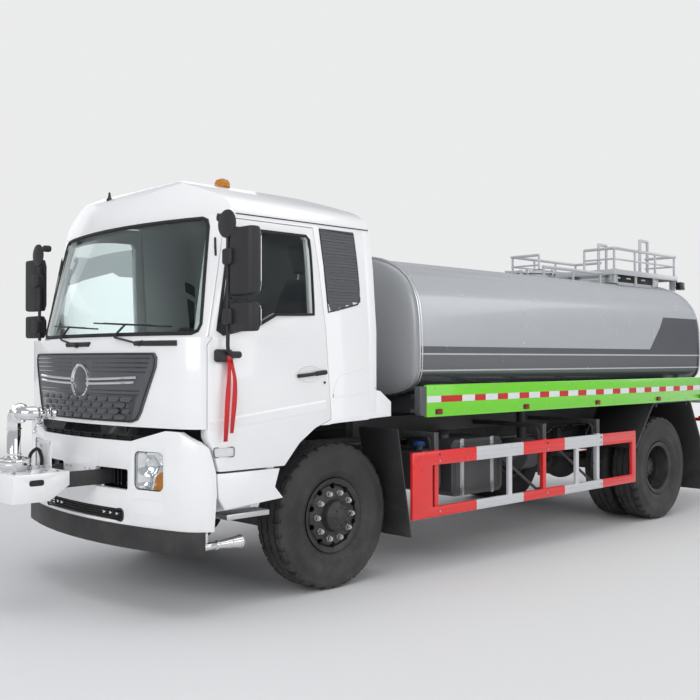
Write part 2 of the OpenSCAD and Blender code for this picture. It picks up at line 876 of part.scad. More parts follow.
// A ring about the Y axis at wheel height, from a section in radius and y
module turned(section) translate([0, 0, tyre_r]) rotate([-90, 0, 0]) rotate_extrude($fn = 72) polygon(section);

module tyre(y) translate([0, y, 0]) turned(tyre_section);

rim_w = tyre_w * 0.8;

// Section of a rim's barrel about its middle plane
function barrel_section(w) = [
    [rim_r - 30, -w / 2 + 12], [rim_r + 10, -w / 2], [rim_r + 10, -w / 2 + 8], [rim_r - run_gap, -w / 2 + 12],
    [rim_r - run_gap, w / 2 - 12], [rim_r + 10, w / 2 - 8], [rim_r + 10, w / 2], [rim_r - 30, w / 2 - 12]
];

hand_hole_r = 28;
bolt_circle_r = 167;

module hand_holes(y0, y1)
    for (i = [0 : 9]) rotate_wheel(36 * i + 18) bar([bolt_circle_r + 46, y0, tyre_r], [bolt_circle_r + 46, y1, tyre_r], hand_hole_r - 6);

module rotate_wheel(a) translate([0, 0, tyre_r]) rotate([0, a, 0]) translate([0, 0, -tyre_r]) children();

module rim_front() {
    y = front_track / 2;
    difference() {
        union() {
            translate([0, y, 0]) turned(barrel_section(rim_w));
            // Disc, convex outwards
            turned([
                [rim_r - 20, y + 20], [rim_r - 20, y + 45], [225, y + 85], [205, y + 105], [100, y + 112],
                [100, y + 97], [200, y + 90], [212, y + 70], [rim_r - 32, y + 20]
            ]);
            // Hub and brake drum
            turned([[1, y - 60], [120, y - 60], [120, y + 100], [110, y + 160], [80, y + 195], [1, y + 195]]);
            turned([[105, y - 90], [200, y - 90], [200, y + 15], [180, y + 40], [105, y + 40]]);
            turned([[190, y + 10], [rim_r - 20, y + 25], [rim_r - 20, y + 45], [190, y + 38]]);
        }
        bar([0, y - 200, tyre_r], [0, y + 120 + 2, tyre_r], spindle_r + run_gap);
        hand_holes(y + 47, y + 200);
        // The open side of the drum, round the knuckle
        turned([[0, y - 95], [185, y - 95], [185, y - 60 - 2], [0, y - 60 - 2]]);
    }
}

module rims_rear() {
    outer = rear_track / 2;
    inner = outer - twin_gap;
    mid = outer - twin_gap / 2;
    difference() {
        union() {
            translate([0, outer, 0]) turned(barrel_section(rim_w));
            translate([0, inner, 0]) turned(barrel_section(rim_w));
            // Dished discs, back to back at the middle
            turned([
                [rim_r - 18, outer - 20], [rim_r - 18, outer - 60], [205, mid - 10], [205, mid - 24], [100, mid - 24],
                [100, mid + 16], [212, mid + 16], [rim_r - 40, outer - 20]
            ]);
            turned([
                [rim_r - 18, inner + 20], [rim_r - 40, inner + 20], [195, mid - 24], [205, mid - 10], [rim_r - 18, inner + 60]
            ]);
            // Hub
            turned([[1, inner - 60], [115, inner - 60], [115, mid + 80], [95, mid + 160], [1, mid + 165]]);
            turned([[100, inner - 90], [200, inner - 90], [200, inner + 60], [100, inner + 90]]);
        }
        bar([0, inner - 200, tyre_r], [0, hub_end + 2, tyre_r], spindle_r + run_gap);
        turned([[0, inner - 100], [axle_r + 10, inner - 100], [axle_r + 10, hub_in_y + 2], [0, hub_in_y + 2]]);
    }
}

module tyre_front_left() at_front() color("black") tyre(front_track / 2);
module tyre_front_right() at_front() color("black") tyre(-front_track / 2);
module rim_front_left() at_front() color("black") rim_front();
module rim_front_right() at_front() color("black") mirror([0, 1, 0]) rim_front();
module tyres_rear_left() at_rear() color("black") {
    tyre(rear_track / 2);
    tyre(rear_track / 2 - twin_gap);
}
module tyres_rear_right() at_rear() color("black") {
    tyre(-rear_track / 2);
    tyre(-rear_track / 2 + twin_gap);
}
module rims_rear_left() at_rear() color("black") rims_rear();
module rims_rear_right() at_rear() color("black") mirror([0, 1, 0]) rims_rear();

// ---------- tank ----------

tank_waist = 378;
tank_steps = 10;

// One quarter of the tank's section: a rounded box whose corner grows squarer with power n
function quarter(a, b, n) = [
    for (i = [0 : tank_steps]) let (t = 90 * i / tank_steps) [a * pow(cos(t), 2 / n), b * pow(sin(t), 2 / n)]
];

function tank_section(d) =
    let (
        waist = tank_bottom + tank_waist,
        upper = quarter(tank_w / 2 - d, tank_h - tank_waist - d, 3.4),
        lower = quarter(tank_w / 2 - d, tank_waist - d, 4.6)
    )
    concat(
        [for (p = upper) [p[0], waist + p[1]]],
        [for (i = [tank_steps - 1 : -1 : 0]) [-upper[i][0], waist + upper[i][1]]],
        [for (i = [1 : tank_steps]) [-lower[i][0], waist - lower[i][1]]],
        [for (i = [tank_steps - 1 : -1 : 1]) [lower[i][0], waist - lower[i][1]]]
    );

tank_x0 = rear_x - tank_overhang;
tank_x1 = front_x - tank_start;
tank_rim = 14;
tank_dish = 40;

module tank_prism(d, x0, x1) front_plate(tank_section(d), x0, x1);

module water_tank() color("silver") {
    tank_prism(tank_rim, tank_x0 + tank_dish, tank_x1 - tank_dish);
    for (x = [tank_x0 + tank_dish, tank_x1 - tank_dish - 30]) tank_prism(0, x, x + 30);
    tank_prism(120, tank_x0, tank_x1);
}

cradle_x = [for (i = [0 : 6]) tank_x1 - 260 - i * (tank_x1 - tank_x0 - 520) / 6];
skirt_bottom = tank_bottom - 137;
skirt_t = 30;

module tank_subframe() color("dimgray") {
    both_sides() block([rear_x + rail_end, frame_y - rail_flange, frame_top], [tank_x1 - 40, frame_y, subframe_top]);
    difference() {
        for (x = cradle_x) {
            front_plate([
                [-560, subframe_top], [560, subframe_top], [605, subframe_top + 55], [900, subframe_top + 55],
                [900, tank_bottom + 60], [-900, tank_bottom + 60], [-900, subframe_top + 55], [-605, subframe_top + 55]
            ], x - 30, x + 30);
            both_sides() block([x - 20, 850, skirt_bottom + 40], [x + 20, side_y - skirt_t, skirt_bottom + 110]);
        }
        tank_prism(0, tank_x0 - 10, tank_x1 + 10);
    }
}

module side_skirts() color("limegreen")
    both_sides() block(
        [tank_x0 + 50, side_y - skirt_t, skirt_bottom],
        [tank_x1 - 30, side_y, skirt_bottom + skirt_h]
    );

guard_front = -650;
guard_rear = wheelbase - 3945;
guard_t = 30;
guard_post_x = [-960, -2420, -3300];

module side_guards() color("red")
    both_sides() {
        y0 = side_y - guard_t;
        difference() {
            block([rear_x + guard_rear, y0, guard_low], [front_x + guard_front, side_y, guard_high]);
            for (i = [0 : 2]) {
                x1 = front_x + guard_front - 230 - i * guard_bay;
                block([x1 - guard_bay + (i == 2 ? 75 : 50), y0 - 1, guard_low + 80], [x1, side_y + 1, guard_high - 110]);
            }
        }
        for (x = guard_post_x) {
            block([front_x + x - 25, y0 - 40, guard_low + 20], [front_x + x + 25, y0, rail_bottom + 330]);
            block([front_x + x - 25, frame_y, rail_bottom + 290], [front_x + x + 25, y0, rail_bottom + 330]);
        }
    }

guard_bay = (wheelbase - guard_rear + guard_front - 230) / 3;

// ---------- tanks and boxes on the frame ----------

module side_tanks() at_front() color("dimgray") {
    side_plate([
        [-2020, 560], [-1980, 520], [-1380, 520], [-1340, 560], [-1340, 945], [-1380, 985], [-1980, 985], [-2020, 945]
    ], 560, 1050);
    translate([-1480, 850, 985]) cylinder(r = 45, h = 35);
    for (x = [-1900, -1500]) block([x, frame_y, 760], [x + 50, 560, 960]);
    side_plate(rounded_box(-1250, -1010, 590, 920, 40), 620, 1010);
    translate([-1075, 930, 920]) cylinder(r = 32, h = 30);
    block([-1150, frame_y, 780], [-1100, 620, 900]);
}

module battery_box() at_front() color("dimgray") {
    block([-1500, -1060, 560], [-1000, -560, 940]);
    for (x = [-1450, -1100]) block([x, -560, 780], [x + 50, -frame_y, 920]);
}

module air_reservoirs() at_front() color("dimgray")
    for (y = [-640, -930]) {
        bar([-2350, y, 760], [-1700, y, 760], 125);
        for (x = [-2250, -1850]) block([x, y, 885], [x + 40, -frame_y, 915]);
    }

module silencer() at_front() color("gray") {
    bar([-3200, -800, 720], [-2650, -800, 720], 160);
    bar([-3200, -800, 720], [-3350, -800, 720], 50);
    for (x = [-3100, -2800]) block([x, -800, 870], [x + 40, -frame_y, 900]);
}

mud_t = 14;

module mudguards() color("black")
    both_sides() {
        at_front() {
            side_plate([[-500, 1130], [-500 - mud_t, 1130], [-648 - mud_t, 300], [-648, 300]], 820, 1230);
            block([-560, frame_y, frame_top - 50], [-520, 830, frame_top - 20]);
        }
        at_rear() {
            side_plate([
                [550, 760], [180, 1205], [-600, 1205], [-850, 760], [-870, 230],
                [-870 + mud_t, 230], [-850 + mud_t, 756], [-592, 1205 - mud_t], [173, 1205 - mud_t], [550 - mud_t - 4, 760]
            ], 620, 1240);
            for (x = [100, -550]) bar_y(x, 1205 - mud_t - 17, frame_y, 1230, 18);
        }
    }

// ---------- tank top and rear end ----------

deck_x0 = rear_x - 1400;
deck_x1 = rear_x;
deck_z = tank_top + 90;
deck_y = 700;
low_deck_z = subframe_top;

module rear_platform() color("silver") {
    difference() {
        union() {
            block([deck_x0, -deck_y, deck_z], [deck_x1, deck_y, deck_z + 20]);
            for (x = [deck_x1 - 60, rear_x - 500, rear_x - 900]) both_sides()
                block([x, deck_y - 80, tank_top - 120], [x + 40, deck_y - 20, deck_z]);
        }
        tank_prism(0, tank_x0 - 10, tank_x1);
        tank_prism(tank_rim, tank_x0, tank_x1);
    }
    block([rear_x + rear_end + 120, -1150, low_deck_z], [tank_x0 - 60, 1150, low_deck_z + 30]);
    both_sides() block([deck_x0, deck_y - 80, low_deck_z + 30], [deck_x0 + 50, deck_y - 30, deck_z]);
}

rail_r = 16;
post_r = 13;
handrail_y = 600;

module tank_railings() color("silver")
    both_sides() {
        for (x = [deck_x0 + 30, deck_x0 + 480, deck_x0 + 930, deck_x1 - 30])
            bar([x, deck_y - 30, deck_z + 20], [x, deck_y - 30, deck_z + 250], post_r);
        bar([deck_x0 + 14, deck_y - 30, deck_z + 250], [deck_x1 - 14, deck_y - 30, deck_z + 250], rail_r);
        bar([deck_x0 + 30, deck_y - 30, deck_z + 135], [deck_x1 - 30, deck_y - 30, deck_z + 135], post_r - 3);
        difference() {
            union() {
                bar([rear_x + 1200, handrail_y, tank_top + 60], [rear_x + 120, handrail_y, tank_top + 60], rail_r);
                for (x = [1185, 660, 135])
                    bar([rear_x + x, handrail_y, tank_top - 60], [rear_x + x, handrail_y, tank_top + 60], post_r);
            }
            tank_prism(tank_rim, tank_x0, tank_x1);
        }
    }

manhole_x = rear_x + 560;
manhole_r = 250;

module manhole_neck() color("silver") {
    difference() {
        translate([manhole_x, 0, tank_top - 60]) cylinder(r = manhole_r, h = 110);
        translate([manhole_x, 0, tank_top - 70]) cylinder(r = manhole_r - 12, h = 200);
        tank_prism(tank_rim, tank_x0, tank_x1);
    }
    for (y = [-90, 70]) difference() {
        union() {
            block([manhole_x + manhole_r - 10, y, tank_top + 10], [manhole_x + manhole_r + 55, y + 20, tank_top + 48]);
            block([manhole_x + manhole_r + 16, y, tank_top + 48], [manhole_x + manhole_r + 55, y + 20, tank_top + 85]);
        }
        translate([manhole_x, 0, tank_top - 70]) cylinder(r = manhole_r - 6, h = 200);
        bar_y(manhole_x + manhole_r + 35, tank_top + 65, -200, 200, 8 + run_gap);
    }
}

module manhole_lid() color("silver") {
    translate([manhole_x, 0, tank_top + 50 + run_gap]) cylinder(r = manhole_r + 12, h = 14);
    translate([manhole_x, 0, tank_top + 64]) cylinder(r = manhole_r - 60, h = 16);
    difference() {
        block([manhole_x + manhole_r - 30, -60, tank_top + 52], [manhole_x + manhole_r + 50, 60, tank_top + 80]);
        bar_y(manhole_x + manhole_r + 35, tank_top + 65, -70, 70, 8);
    }
    bar_y(manhole_x + manhole_r + 35, tank_top + 65, -95, 95, 8);
}

ladder_y = 280;
ladder_x = deck_x0 - 60;

module rear_ladder() color("silver") {
    both_sides() {
        tube([
            [ladder_x, ladder_y, low_deck_z + 30], [ladder_x, ladder_y, tank_top + 560],
            [ladder_x + 180, ladder_y, tank_top + 560], [ladder_x + 180, ladder_y, deck_z + 20]
        ], 18);
    }
    for (i = [1 : 5]) bar_y(ladder_x, low_deck_z + 30 + 270 * i, -ladder_y, ladder_y, 14);
}

module rear_bumper() at_rear() color("red") {
    block([rear_end, -1150, 440], [rear_end + 60, 1150, 560]);
    both_sides() block([rear_end + 60, frame_y - 60, 460], [rear_end + 100, frame_y - 10, frame_top - 20]);
    both_sides() block([rear_end + 60, frame_y - 60, 540], [rear_end + 62, frame_y - 10, 560]);
    // Towing eye, bolted to the last cross member
    difference() {
        side_plate(rounded_box(rear_end + 5, rail_end + 5, member_z[0] + 30, member_z[1] - 30, 8), -60, 60);
        translate([tow_x, 0, 0]) cylinder(r = tow_r, h = frame_top);
    }
}

module rear_lamps() at_rear() color("darkred")
    both_sides() {
        block([rear_end + 60, 780, 860], [rear_end + 120, 1130, 1000]);
        block([rear_end + 120, 700, 900], [rear_end + 140, 1000, 960]);
        block([rear_end + 120, frame_y, 900], [rear_end + 140, 700, 940]);
    }

// ---------- pump and pipework ----------

pump_x = (cradle_x[2] + cradle_x[3]) / 2 - front_x;
pump_y = 700;
pump_z = 760;
spray_bar_x = rear_end + 250;
spray_bar_z = 700;
spray_bar_r = 30;
outlet_y = 250;
outlet_z = frame_top - 20;
outlet_r = 50;
outlet_gap = 40;
outlet_long = 120;

module water_pump() at_front() color("dimgray") {
    bar([pump_x - 110, pump_y, pump_z], [pump_x + 110, pump_y, pump_z], 150);
    bar([pump_x + 110, pump_y, pump_z], [pump_x + 260, pump_y, pump_z], 60);
    block([pump_x - 60, frame_y, pump_z + 40], [pump_x + 60, pump_y - 100, pump_z + 110]);
}

module water_pipes() color("silver") {
    // Tank to pump
    at_front() difference() {
        bar([pump_x, pump_y, pump_z + 100], [pump_x, pump_y, tank_bottom + 30], 45);
        translate([-front_x, 0, 0]) tank_prism(tank_rim, tank_x0, tank_x1);
        bar([pump_x - 110, pump_y, pump_z], [pump_x + 110, pump_y, pump_z], 150);
    }
    // Tank to the rear spray bar
    at_rear() {
        difference() {
            union() {
                bar([-tank_overhang + 140, 0, frame_top - 40], [-tank_overhang + 140, 0, tank_bottom + 30], 40);
                bar([-tank_overhang + 190, 0, frame_top - 40], [spray_bar_x - 50, 0, frame_top - 40], 44);
            }
            translate([-rear_x, 0, 0]) tank_prism(tank_rim, tank_x0, tank_x1);
        }
        bar([spray_bar_x, 0, spray_bar_z], [spray_bar_x, 0, frame_top - 30], 36);
        // Branch to the rear hose outlet
        bar_y(spray_bar_x, outlet_z, -outlet_y, 0, outlet_r - 12);
        bar([spray_bar_x, -outlet_y, outlet_z], [rear_end + outlet_gap + 10, -outlet_y, outlet_z], outlet_r - 12);
        bar([rear_end + outlet_gap + outlet_long, -outlet_y, outlet_z], [rear_end + outlet_gap, -outlet_y, outlet_z], outlet_r);
        bar_y(spray_bar_x, spray_bar_z, -730, 730, spray_bar_r);
        both_sides() block([spray_bar_x - 15, frame_y - 60, spray_bar_z], [spray_bar_x + 15, frame_y - 30, rail_bottom]);
    }
}

chassis_frame();
front_axle_beam();
leaf_springs();
rear_axle_housing();
engine_block();
propeller_shaft();
front_bumper();
underrun_bar();
headlamps();
monitor_bracket();
spray_nozzles();
water_tank();
tank_subframe();
side_skirts();
side_guards();
side_tanks();
air_reservoirs();
battery_box();
silencer();
mudguards();
rear_platform();
tank_railings();
manhole_neck();
manhole_lid();
rear_ladder();
rear_lamps();
rear_bumper();
water_pump();
water_pipes();
cab_floor();
cab_back_wall();
cab_roof();
cab_front_panel();
cab_side_frames();
windshield();
wheel_arches();
cab_steps();
grille_panel();
dashboard();
seats();
steering_wheel();
beacon();
door_left();
door_right();
door_glass_left();
door_glass_right();
mirror_left();
mirror_right();
knuckle_left();
knuckle_right();
tyre_front_left();
tyre_front_right();
rim_front_left();
rim_front_right();
tyres_rear_left();
tyres_rear_right();
rims_rear_left();
rims_rear_right();
monitor_elbow();
monitor_barrel();
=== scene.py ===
# %% [markdown]
# # A water tanker truck, finished around its CAD frame
# The CAD model gives every panel, wheel and hinge its true size and place.
# This lesson gives them paint, rubber, glass and chrome, and adds the pieces
# that are too fine for CAD: tread, wipers, lamps, mesh, straps and seams.

# %% Load the frame
import json
from math import cos, hypot, pi, radians, sin, sqrt

import bmesh
import bpy
from mathutils import Matrix, Vector


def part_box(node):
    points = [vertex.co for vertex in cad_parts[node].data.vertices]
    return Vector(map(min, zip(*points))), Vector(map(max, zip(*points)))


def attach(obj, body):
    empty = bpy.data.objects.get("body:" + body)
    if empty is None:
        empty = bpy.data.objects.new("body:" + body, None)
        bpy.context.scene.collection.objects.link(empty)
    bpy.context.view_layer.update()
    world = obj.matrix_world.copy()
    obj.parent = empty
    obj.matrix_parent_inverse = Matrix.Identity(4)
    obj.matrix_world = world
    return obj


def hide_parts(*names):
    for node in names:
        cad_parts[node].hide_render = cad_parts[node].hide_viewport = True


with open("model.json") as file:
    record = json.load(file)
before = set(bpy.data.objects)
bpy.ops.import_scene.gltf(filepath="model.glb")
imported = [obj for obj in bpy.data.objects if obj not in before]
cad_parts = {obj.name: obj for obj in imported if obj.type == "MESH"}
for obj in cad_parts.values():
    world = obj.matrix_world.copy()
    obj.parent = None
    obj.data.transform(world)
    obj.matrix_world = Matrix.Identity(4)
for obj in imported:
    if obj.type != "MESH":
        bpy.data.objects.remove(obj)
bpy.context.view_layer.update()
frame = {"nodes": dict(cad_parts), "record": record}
nodes = frame["nodes"]
joint_at = {j["name"]: Vector(j["pos_m"]) for j in frame["record"]["behaviour"]["joints"]}
FRONT = joint_at["steer_left"].x
REAR = joint_at["wheels_rear_left_spin"].x
HUB_Z = joint_at["wheels_rear_left_spin"].z

# %% [markdown]
# ## The camera
# The view is a three-quarter one from the front left, a little above the
# bumper, with a lens of about 49 mm, so the cab looms over the tank.

# %% Camera
camera = bpy.data.objects.new("camera", bpy.data.cameras.new("camera"))
bpy.context.collection.objects.link(camera)
camera.location = (FRONT + 4.726, 6.112, 1.65)
camera.data.sensor_width = 36
camera.data.lens = 49.3
camera.data.clip_end = 200
YAW, PITCH = radians(-134.13), radians(0.54)
look = Vector((cos(YAW) * cos(PITCH), sin(YAW) * cos(PITCH), sin(PITCH)))
camera.rotation_euler = look.to_track_quat("-Z", "Y").to_euler()
bpy.context.scene.camera = camera
print("camera at", tuple(round(v, 3) for v in camera.location))

# %% [markdown]
# ## Floor, walls and light
# A vehicle studio has a pale floor that runs up into a pale wall, and very
# large soft lamps overhead. The lamps stay at a plain level, and the paleness
# of the background comes from the world colour that the camera sees.

# %% Studio
WALL = (0.83, 0.833, 0.838)
NEAR_FLOOR, FAR_FLOOR = 5.5, 15.0
scene = bpy.context.scene
scene.view_settings.view_transform = "Standard"
world = bpy.data.worlds.new("studio")
scene.world = world
world.use_nodes = True
tree = world.node_tree
tree.nodes.clear()
sky_out = tree.nodes.new("ShaderNodeOutputWorld")
sky_mix = tree.nodes.new("ShaderNodeMixShader")
sky_light = tree.nodes.new("ShaderNodeBackground")
sky_light.inputs[0].default_value = (0.93, 0.95, 1.0, 1)
sky_light.inputs[1].default_value = 0.50
sky_seen = tree.nodes.new("ShaderNodeBackground")
sky_seen.inputs[0].default_value = (*WALL, 1)
sky_seen.inputs[1].default_value = 1.0
sky_path = tree.nodes.new("ShaderNodeLightPath")
tree.links.new(sky_path.outputs["Is Camera Ray"], sky_mix.inputs[0])
tree.links.new(sky_light.outputs[0], sky_mix.inputs[1])
tree.links.new(sky_seen.outputs[0], sky_mix.inputs[2])
tree.links.new(sky_mix.outputs[0], sky_out.inputs[0])


def lamp(name, place, size, watts, target, colour=(1, 1, 1)):
    light = bpy.data.lights.new(name, "AREA")
    light.shape = "RECTANGLE"
    light.size, light.size_y = size
    light.energy = watts
    light.color = colour
    thing = bpy.data.objects.new(name, light)
    bpy.context.collection.objects.link(thing)
    thing.location = place
    thing.rotation_euler = (Vector(target) - Vector(place)).to_track_quat("-Z", "Y").to_euler()
    return thing


lamp("lamp_over", (0.5, 2.0, 9.0), (12, 8), 335, (0, 0, 0.5), (1, 0.99, 0.97))
lamp("lamp_front", (12.0, 4.0, 5.0), (7, 5), 330, (2.0, 0, 1.2))
lamp("lamp_side", (0.0, 12.0, 4.5), (12, 5), 290, (0, 0, 1.0))
lamp("lamp_far_side", (-1.0, -12.0, 5.5), (12, 5), 140, (0, 0, 1.2))
lamp("lamp_rear", (-12.0, 2.0, 5.0), (7, 5), 120, (-3.0, 0, 1.2))

bm = bmesh.new()
bmesh.ops.create_grid(bm, x_segments=2, y_segments=2, size=60)
floor_mesh = bpy.data.meshes.new("studio_floor")
bm.to_mesh(floor_mesh)
bm.free()
studio_floor = bpy.data.objects.new("studio_floor", floor_mesh)
bpy.context.collection.objects.link(studio_floor)
floor_paint = bpy.data.materials.new("studio_floor")
floor_paint.use_nodes = True
floor_tree = floor_paint.node_tree
floor_shader = floor_tree.nodes["Principled BSDF"]
floor_shader.inputs["Base Color"].default_value = (0.78, 0.783, 0.79, 1)
floor_shader.inputs["Roughness"].default_value = 0.6
floor_shader.inputs["Specular IOR Level"].default_value = 0.2
# Far from the truck the floor fades into the wall colour, so no horizon shows
reach = floor_tree.nodes.new("ShaderNodeVectorMath")
reach.operation = "LENGTH"
floor_tree.links.new(floor_tree.nodes.new("ShaderNodeTexCoord").outputs["Object"], reach.inputs[0])
fade = floor_tree.nodes.new("ShaderNodeMapRange")
fade.interpolation_type = "SMOOTHERSTEP"
fade.inputs["From Min"].default_value, fade.inputs["From Max"].default_value = NEAR_FLOOR, FAR_FLOOR
floor_tree.links.new(reach.outputs["Value"], fade.inputs["Value"])
far = floor_tree.nodes.new("ShaderNodeEmission")
far.inputs["Color"].default_value = (*WALL, 1)
join = floor_tree.nodes.new("ShaderNodeMixShader")
floor_tree.links.new(fade.outputs["Result"], join.inputs[0])
floor_tree.links.new(floor_shader.outputs[0], join.inputs[1])
floor_tree.links.new(far.outputs[0], join.inputs[2])
floor_tree.links.new(join.outputs[0], floor_tree.nodes["Material Output"].inputs[0])
floor_mesh.materials.append(floor_paint)
print("studio ready")
# %% [markdown]
# ## Shared effects as node groups
# Real paint, rubber and steel are never one flat value. Two groups carry what
# they share: "fine_grain" breaks up colour and roughness with noise, and
# "road_dust" lays a thin film that is thicker near the ground. Each material
# places them with its own scale and strength.

# %% Node group helpers
def new_group(name, inputs, outputs):
    group = bpy.data.node_groups.new(name, "ShaderNodeTree")
    for label, kind, value in inputs:
        socket = group.interface.new_socket(label, in_out="INPUT", socket_type=kind)
        socket.default_value = value
    for label, kind in outputs:
        group.interface.new_socket(label, in_out="OUTPUT", socket_type=kind)
    return group, group.nodes.new("NodeGroupInput"), group.nodes.new("NodeGroupOutput")


def put(tree, kind, **settings):
    node = tree.nodes.new(kind)
    for key, value in settings.items():
        setattr(node, key, value)
    return node


def noise(tree, scale, detail=3.0, rough=0.55, vector=None):
    node = put(tree, "ShaderNodeTexNoise")
    node.inputs["Scale"].default_value = scale
    node.inputs["Detail"].default_value = detail
    node.inputs["Roughness"].default_value = rough
    if vector is not None:
        tree.links.new(vector, node.inputs["Vector"])
    return node.outputs["Fac"]


def span(tree, value, low, high, to_low=0.0, to_high=1.0):
    node = put(tree, "ShaderNodeMapRange")
    tree.links.new(value, node.inputs["Value"])
    for label, number in zip(("From Min", "From Max", "To Min", "To Max"), (low, high, to_low, to_high)):
        if isinstance(number, (int, float)):
            node.inputs[label].default_value = number
        else:
            tree.links.new(number, node.inputs[label])
    return node.outputs["Result"]


def sums(tree, how, a, b):
    node = put(tree, "ShaderNodeMath", operation=how)
    for socket, value in zip(node.inputs, (a, b)):
        if isinstance(value, (int, float)):
            socket.default_value = value
        else:
            tree.links.new(value, socket)
    return node.outputs[0]


def blend_colour(tree, fac, a, b):
    node = put(tree, "ShaderNodeMix", data_type="RGBA")
    tree.links.new(fac, node.inputs["Factor"])
    for socket, value in ((node.inputs[6], a), (node.inputs[7], b)):
        if isinstance(value, tuple):
            socket.default_value = (*value, 1) if len(value) == 3 else value
        else:
            tree.links.new(value, socket)
    return node.outputs[2]


# %% Fine grain: three sizes of noise in one group
grain, grain_in, grain_out = new_group(
    "fine_grain",
    [("Scale", "NodeSocketFloat", 60.0), ("Spread", "NodeSocketFloat", 0.1)],
    [("Shade", "NodeSocketFloat"), ("Roughness", "NodeSocketFloat"), ("Height", "NodeSocketFloat")],
)
place = put(grain, "ShaderNodeTexCoord").outputs["Object"]
wide = noise(grain, 3.0, 2.0, 0.5, place)
fine = put(grain, "ShaderNodeTexNoise")
fine.inputs["Detail"].default_value = 4
grain.links.new(place, fine.inputs["Vector"])
grain.links.new(grain_in.outputs["Scale"], fine.inputs["Scale"])
mixed = sums(grain, "ADD", sums(grain, "MULTIPLY", wide, 0.6), sums(grain, "MULTIPLY", fine.outputs["Fac"], 0.4))
centred = sums(grain, "SUBTRACT", mixed, 0.5)
scaled = sums(grain, "MULTIPLY", centred, grain_in.outputs["Spread"])
grain.links.new(scaled, grain_out.inputs["Shade"])
grain.links.new(sums(grain, "MULTIPLY", scaled, 2.0), grain_out.inputs["Roughness"])
grain.links.new(fine.outputs["Fac"], grain_out.inputs["Height"])
print("group", grain.name)

# %% Road dust: more of it near the ground, broken into patches
dust, dust_in, dust_out = new_group(
    "road_dust",
    [("Top", "NodeSocketFloat", 1.2), ("Amount", "NodeSocketFloat", 0.3)],
    [("Mask", "NodeSocketFloat")],
)
place = put(dust, "ShaderNodeTexCoord").outputs["Object"]
parts = put(dust, "ShaderNodeSeparateXYZ")
dust.links.new(place, parts.inputs[0])
low = span(dust, parts.outputs["Z"], dust_in.outputs["Top"], 0.0)
patch = span(dust, noise(dust, 5.0, 5.0, 0.65, place), 0.35, 0.7)
mask = sums(dust, "MULTIPLY", sums(dust, "MULTIPLY", low, patch), dust_in.outputs["Amount"])
dust.links.new(mask, dust_out.inputs["Mask"])
print("group", dust.name)

# %% [markdown]
# ## Materials
# One function lays down the layers that every finish here needs: a base
# colour with slow variation, a film of dust, a roughness that follows both, and
# a bump. Values that are the same all over the surface are set on the shader
# itself.

# %% The layered finish
DUST_COLOUR = (0.30, 0.27, 0.235)


def finish(name, colour, rough, metal=0.0, spread=0.10, grain_scale=60.0, bump=0.02, bump_depth=0.0008,
           dust_top=1.1, dust_amount=0.25, coat=0.0, specular=0.5, paint=None, detail=None):
    material = bpy.data.materials.new(name)
    material.use_nodes = True
    tree = material.node_tree
    shader = tree.nodes["Principled BSDF"]
    shader.inputs["Metallic"].default_value = metal
    shader.inputs["Specular IOR Level"].default_value = specular
    shader.inputs["Coat Weight"].default_value = coat
    shader.inputs["Coat Roughness"].default_value = 0.06
    layer = put(tree, "ShaderNodeGroup", node_tree=grain)
    layer.inputs["Scale"].default_value = grain_scale
    layer.inputs["Spread"].default_value = spread
    base = paint(tree) if paint else None
    bright = put(tree, "ShaderNodeHueSaturation")
    if base is None:
        bright.inputs["Color"].default_value = (*colour, 1)
    else:
        tree.links.new(base, bright.inputs["Color"])
    tree.links.new(sums(tree, "ADD", layer.outputs["Shade"], 1.0), bright.inputs["Value"])
    film = put(tree, "ShaderNodeGroup", node_tree=dust)
    film.inputs["Top"].default_value = dust_top
    film.inputs["Amount"].default_value = dust_amount
    dusty = blend_colour(tree, film.outputs["Mask"], bright.outputs[0], DUST_COLOUR)
    tree.links.new(dusty, shader.inputs["Base Color"])
    level = sums(tree, "ADD", sums(tree, "ADD", layer.outputs["Roughness"], rough),
        sums(tree, "MULTIPLY", film.outputs["Mask"], 0.5))
    held = put(tree, "ShaderNodeClamp")
    held.inputs["Min"].default_value = 0.03
    tree.links.new(level, held.inputs[0])
    tree.links.new(held.outputs[0], shader.inputs["Roughness"])
    lump = put(tree, "ShaderNodeBump")
    lump.inputs["Strength"].default_value = bump
    lump.inputs["Distance"].default_value = bump_depth
    height = detail(tree, layer.outputs["Height"]) if detail else layer.outputs["Height"]
    tree.links.new(height, lump.inputs["Height"])
    tree.links.new(lump.outputs[0], shader.inputs["Normal"])
    return material


def object_axes(tree):
    parts = put(tree, "ShaderNodeSeparateXYZ")
    tree.links.new(put(tree, "ShaderNodeTexCoord").outputs["Object"], parts.inputs[0])
    return parts.outputs


def step(tree, value, edge, soft=0.0008):
    return span(tree, value, edge - soft, edge + soft)


# %% Plain finishes
cab_white = finish("cab_white", (0.90, 0.905, 0.91), 0.22, coat=0.6, spread=0.03, grain_scale=8, bump=0.05,
    bump_depth=0.0015, dust_amount=0.10)
chassis_black = finish("chassis_black", (0.028, 0.028, 0.030), 0.5, spread=0.35, bump=0.15, dust_amount=0.30)
frame_grey = finish("frame_grey", (0.055, 0.056, 0.060), 0.45, spread=0.25, bump=0.12, dust_amount=0.25)
trim_black = finish("trim_black", (0.018, 0.018, 0.020), 0.55, spread=0.25, grain_scale=420, bump=0.25,
    bump_depth=0.0004, dust_amount=0.18)
gloss_black = finish("gloss_black", (0.010, 0.010, 0.012), 0.12, spread=0.10, dust_amount=0.05, coat=0.5)
rubber = finish("rubber", (0.012, 0.012, 0.012), 0.7, spread=0.3, grain_scale=260, bump=0.2, bump_depth=0.0005)
interior_grey = finish("interior_grey", (0.085, 0.088, 0.095), 0.6, spread=0.2, grain_scale=500, bump=0.3,
    bump_depth=0.0004, dust_amount=0)
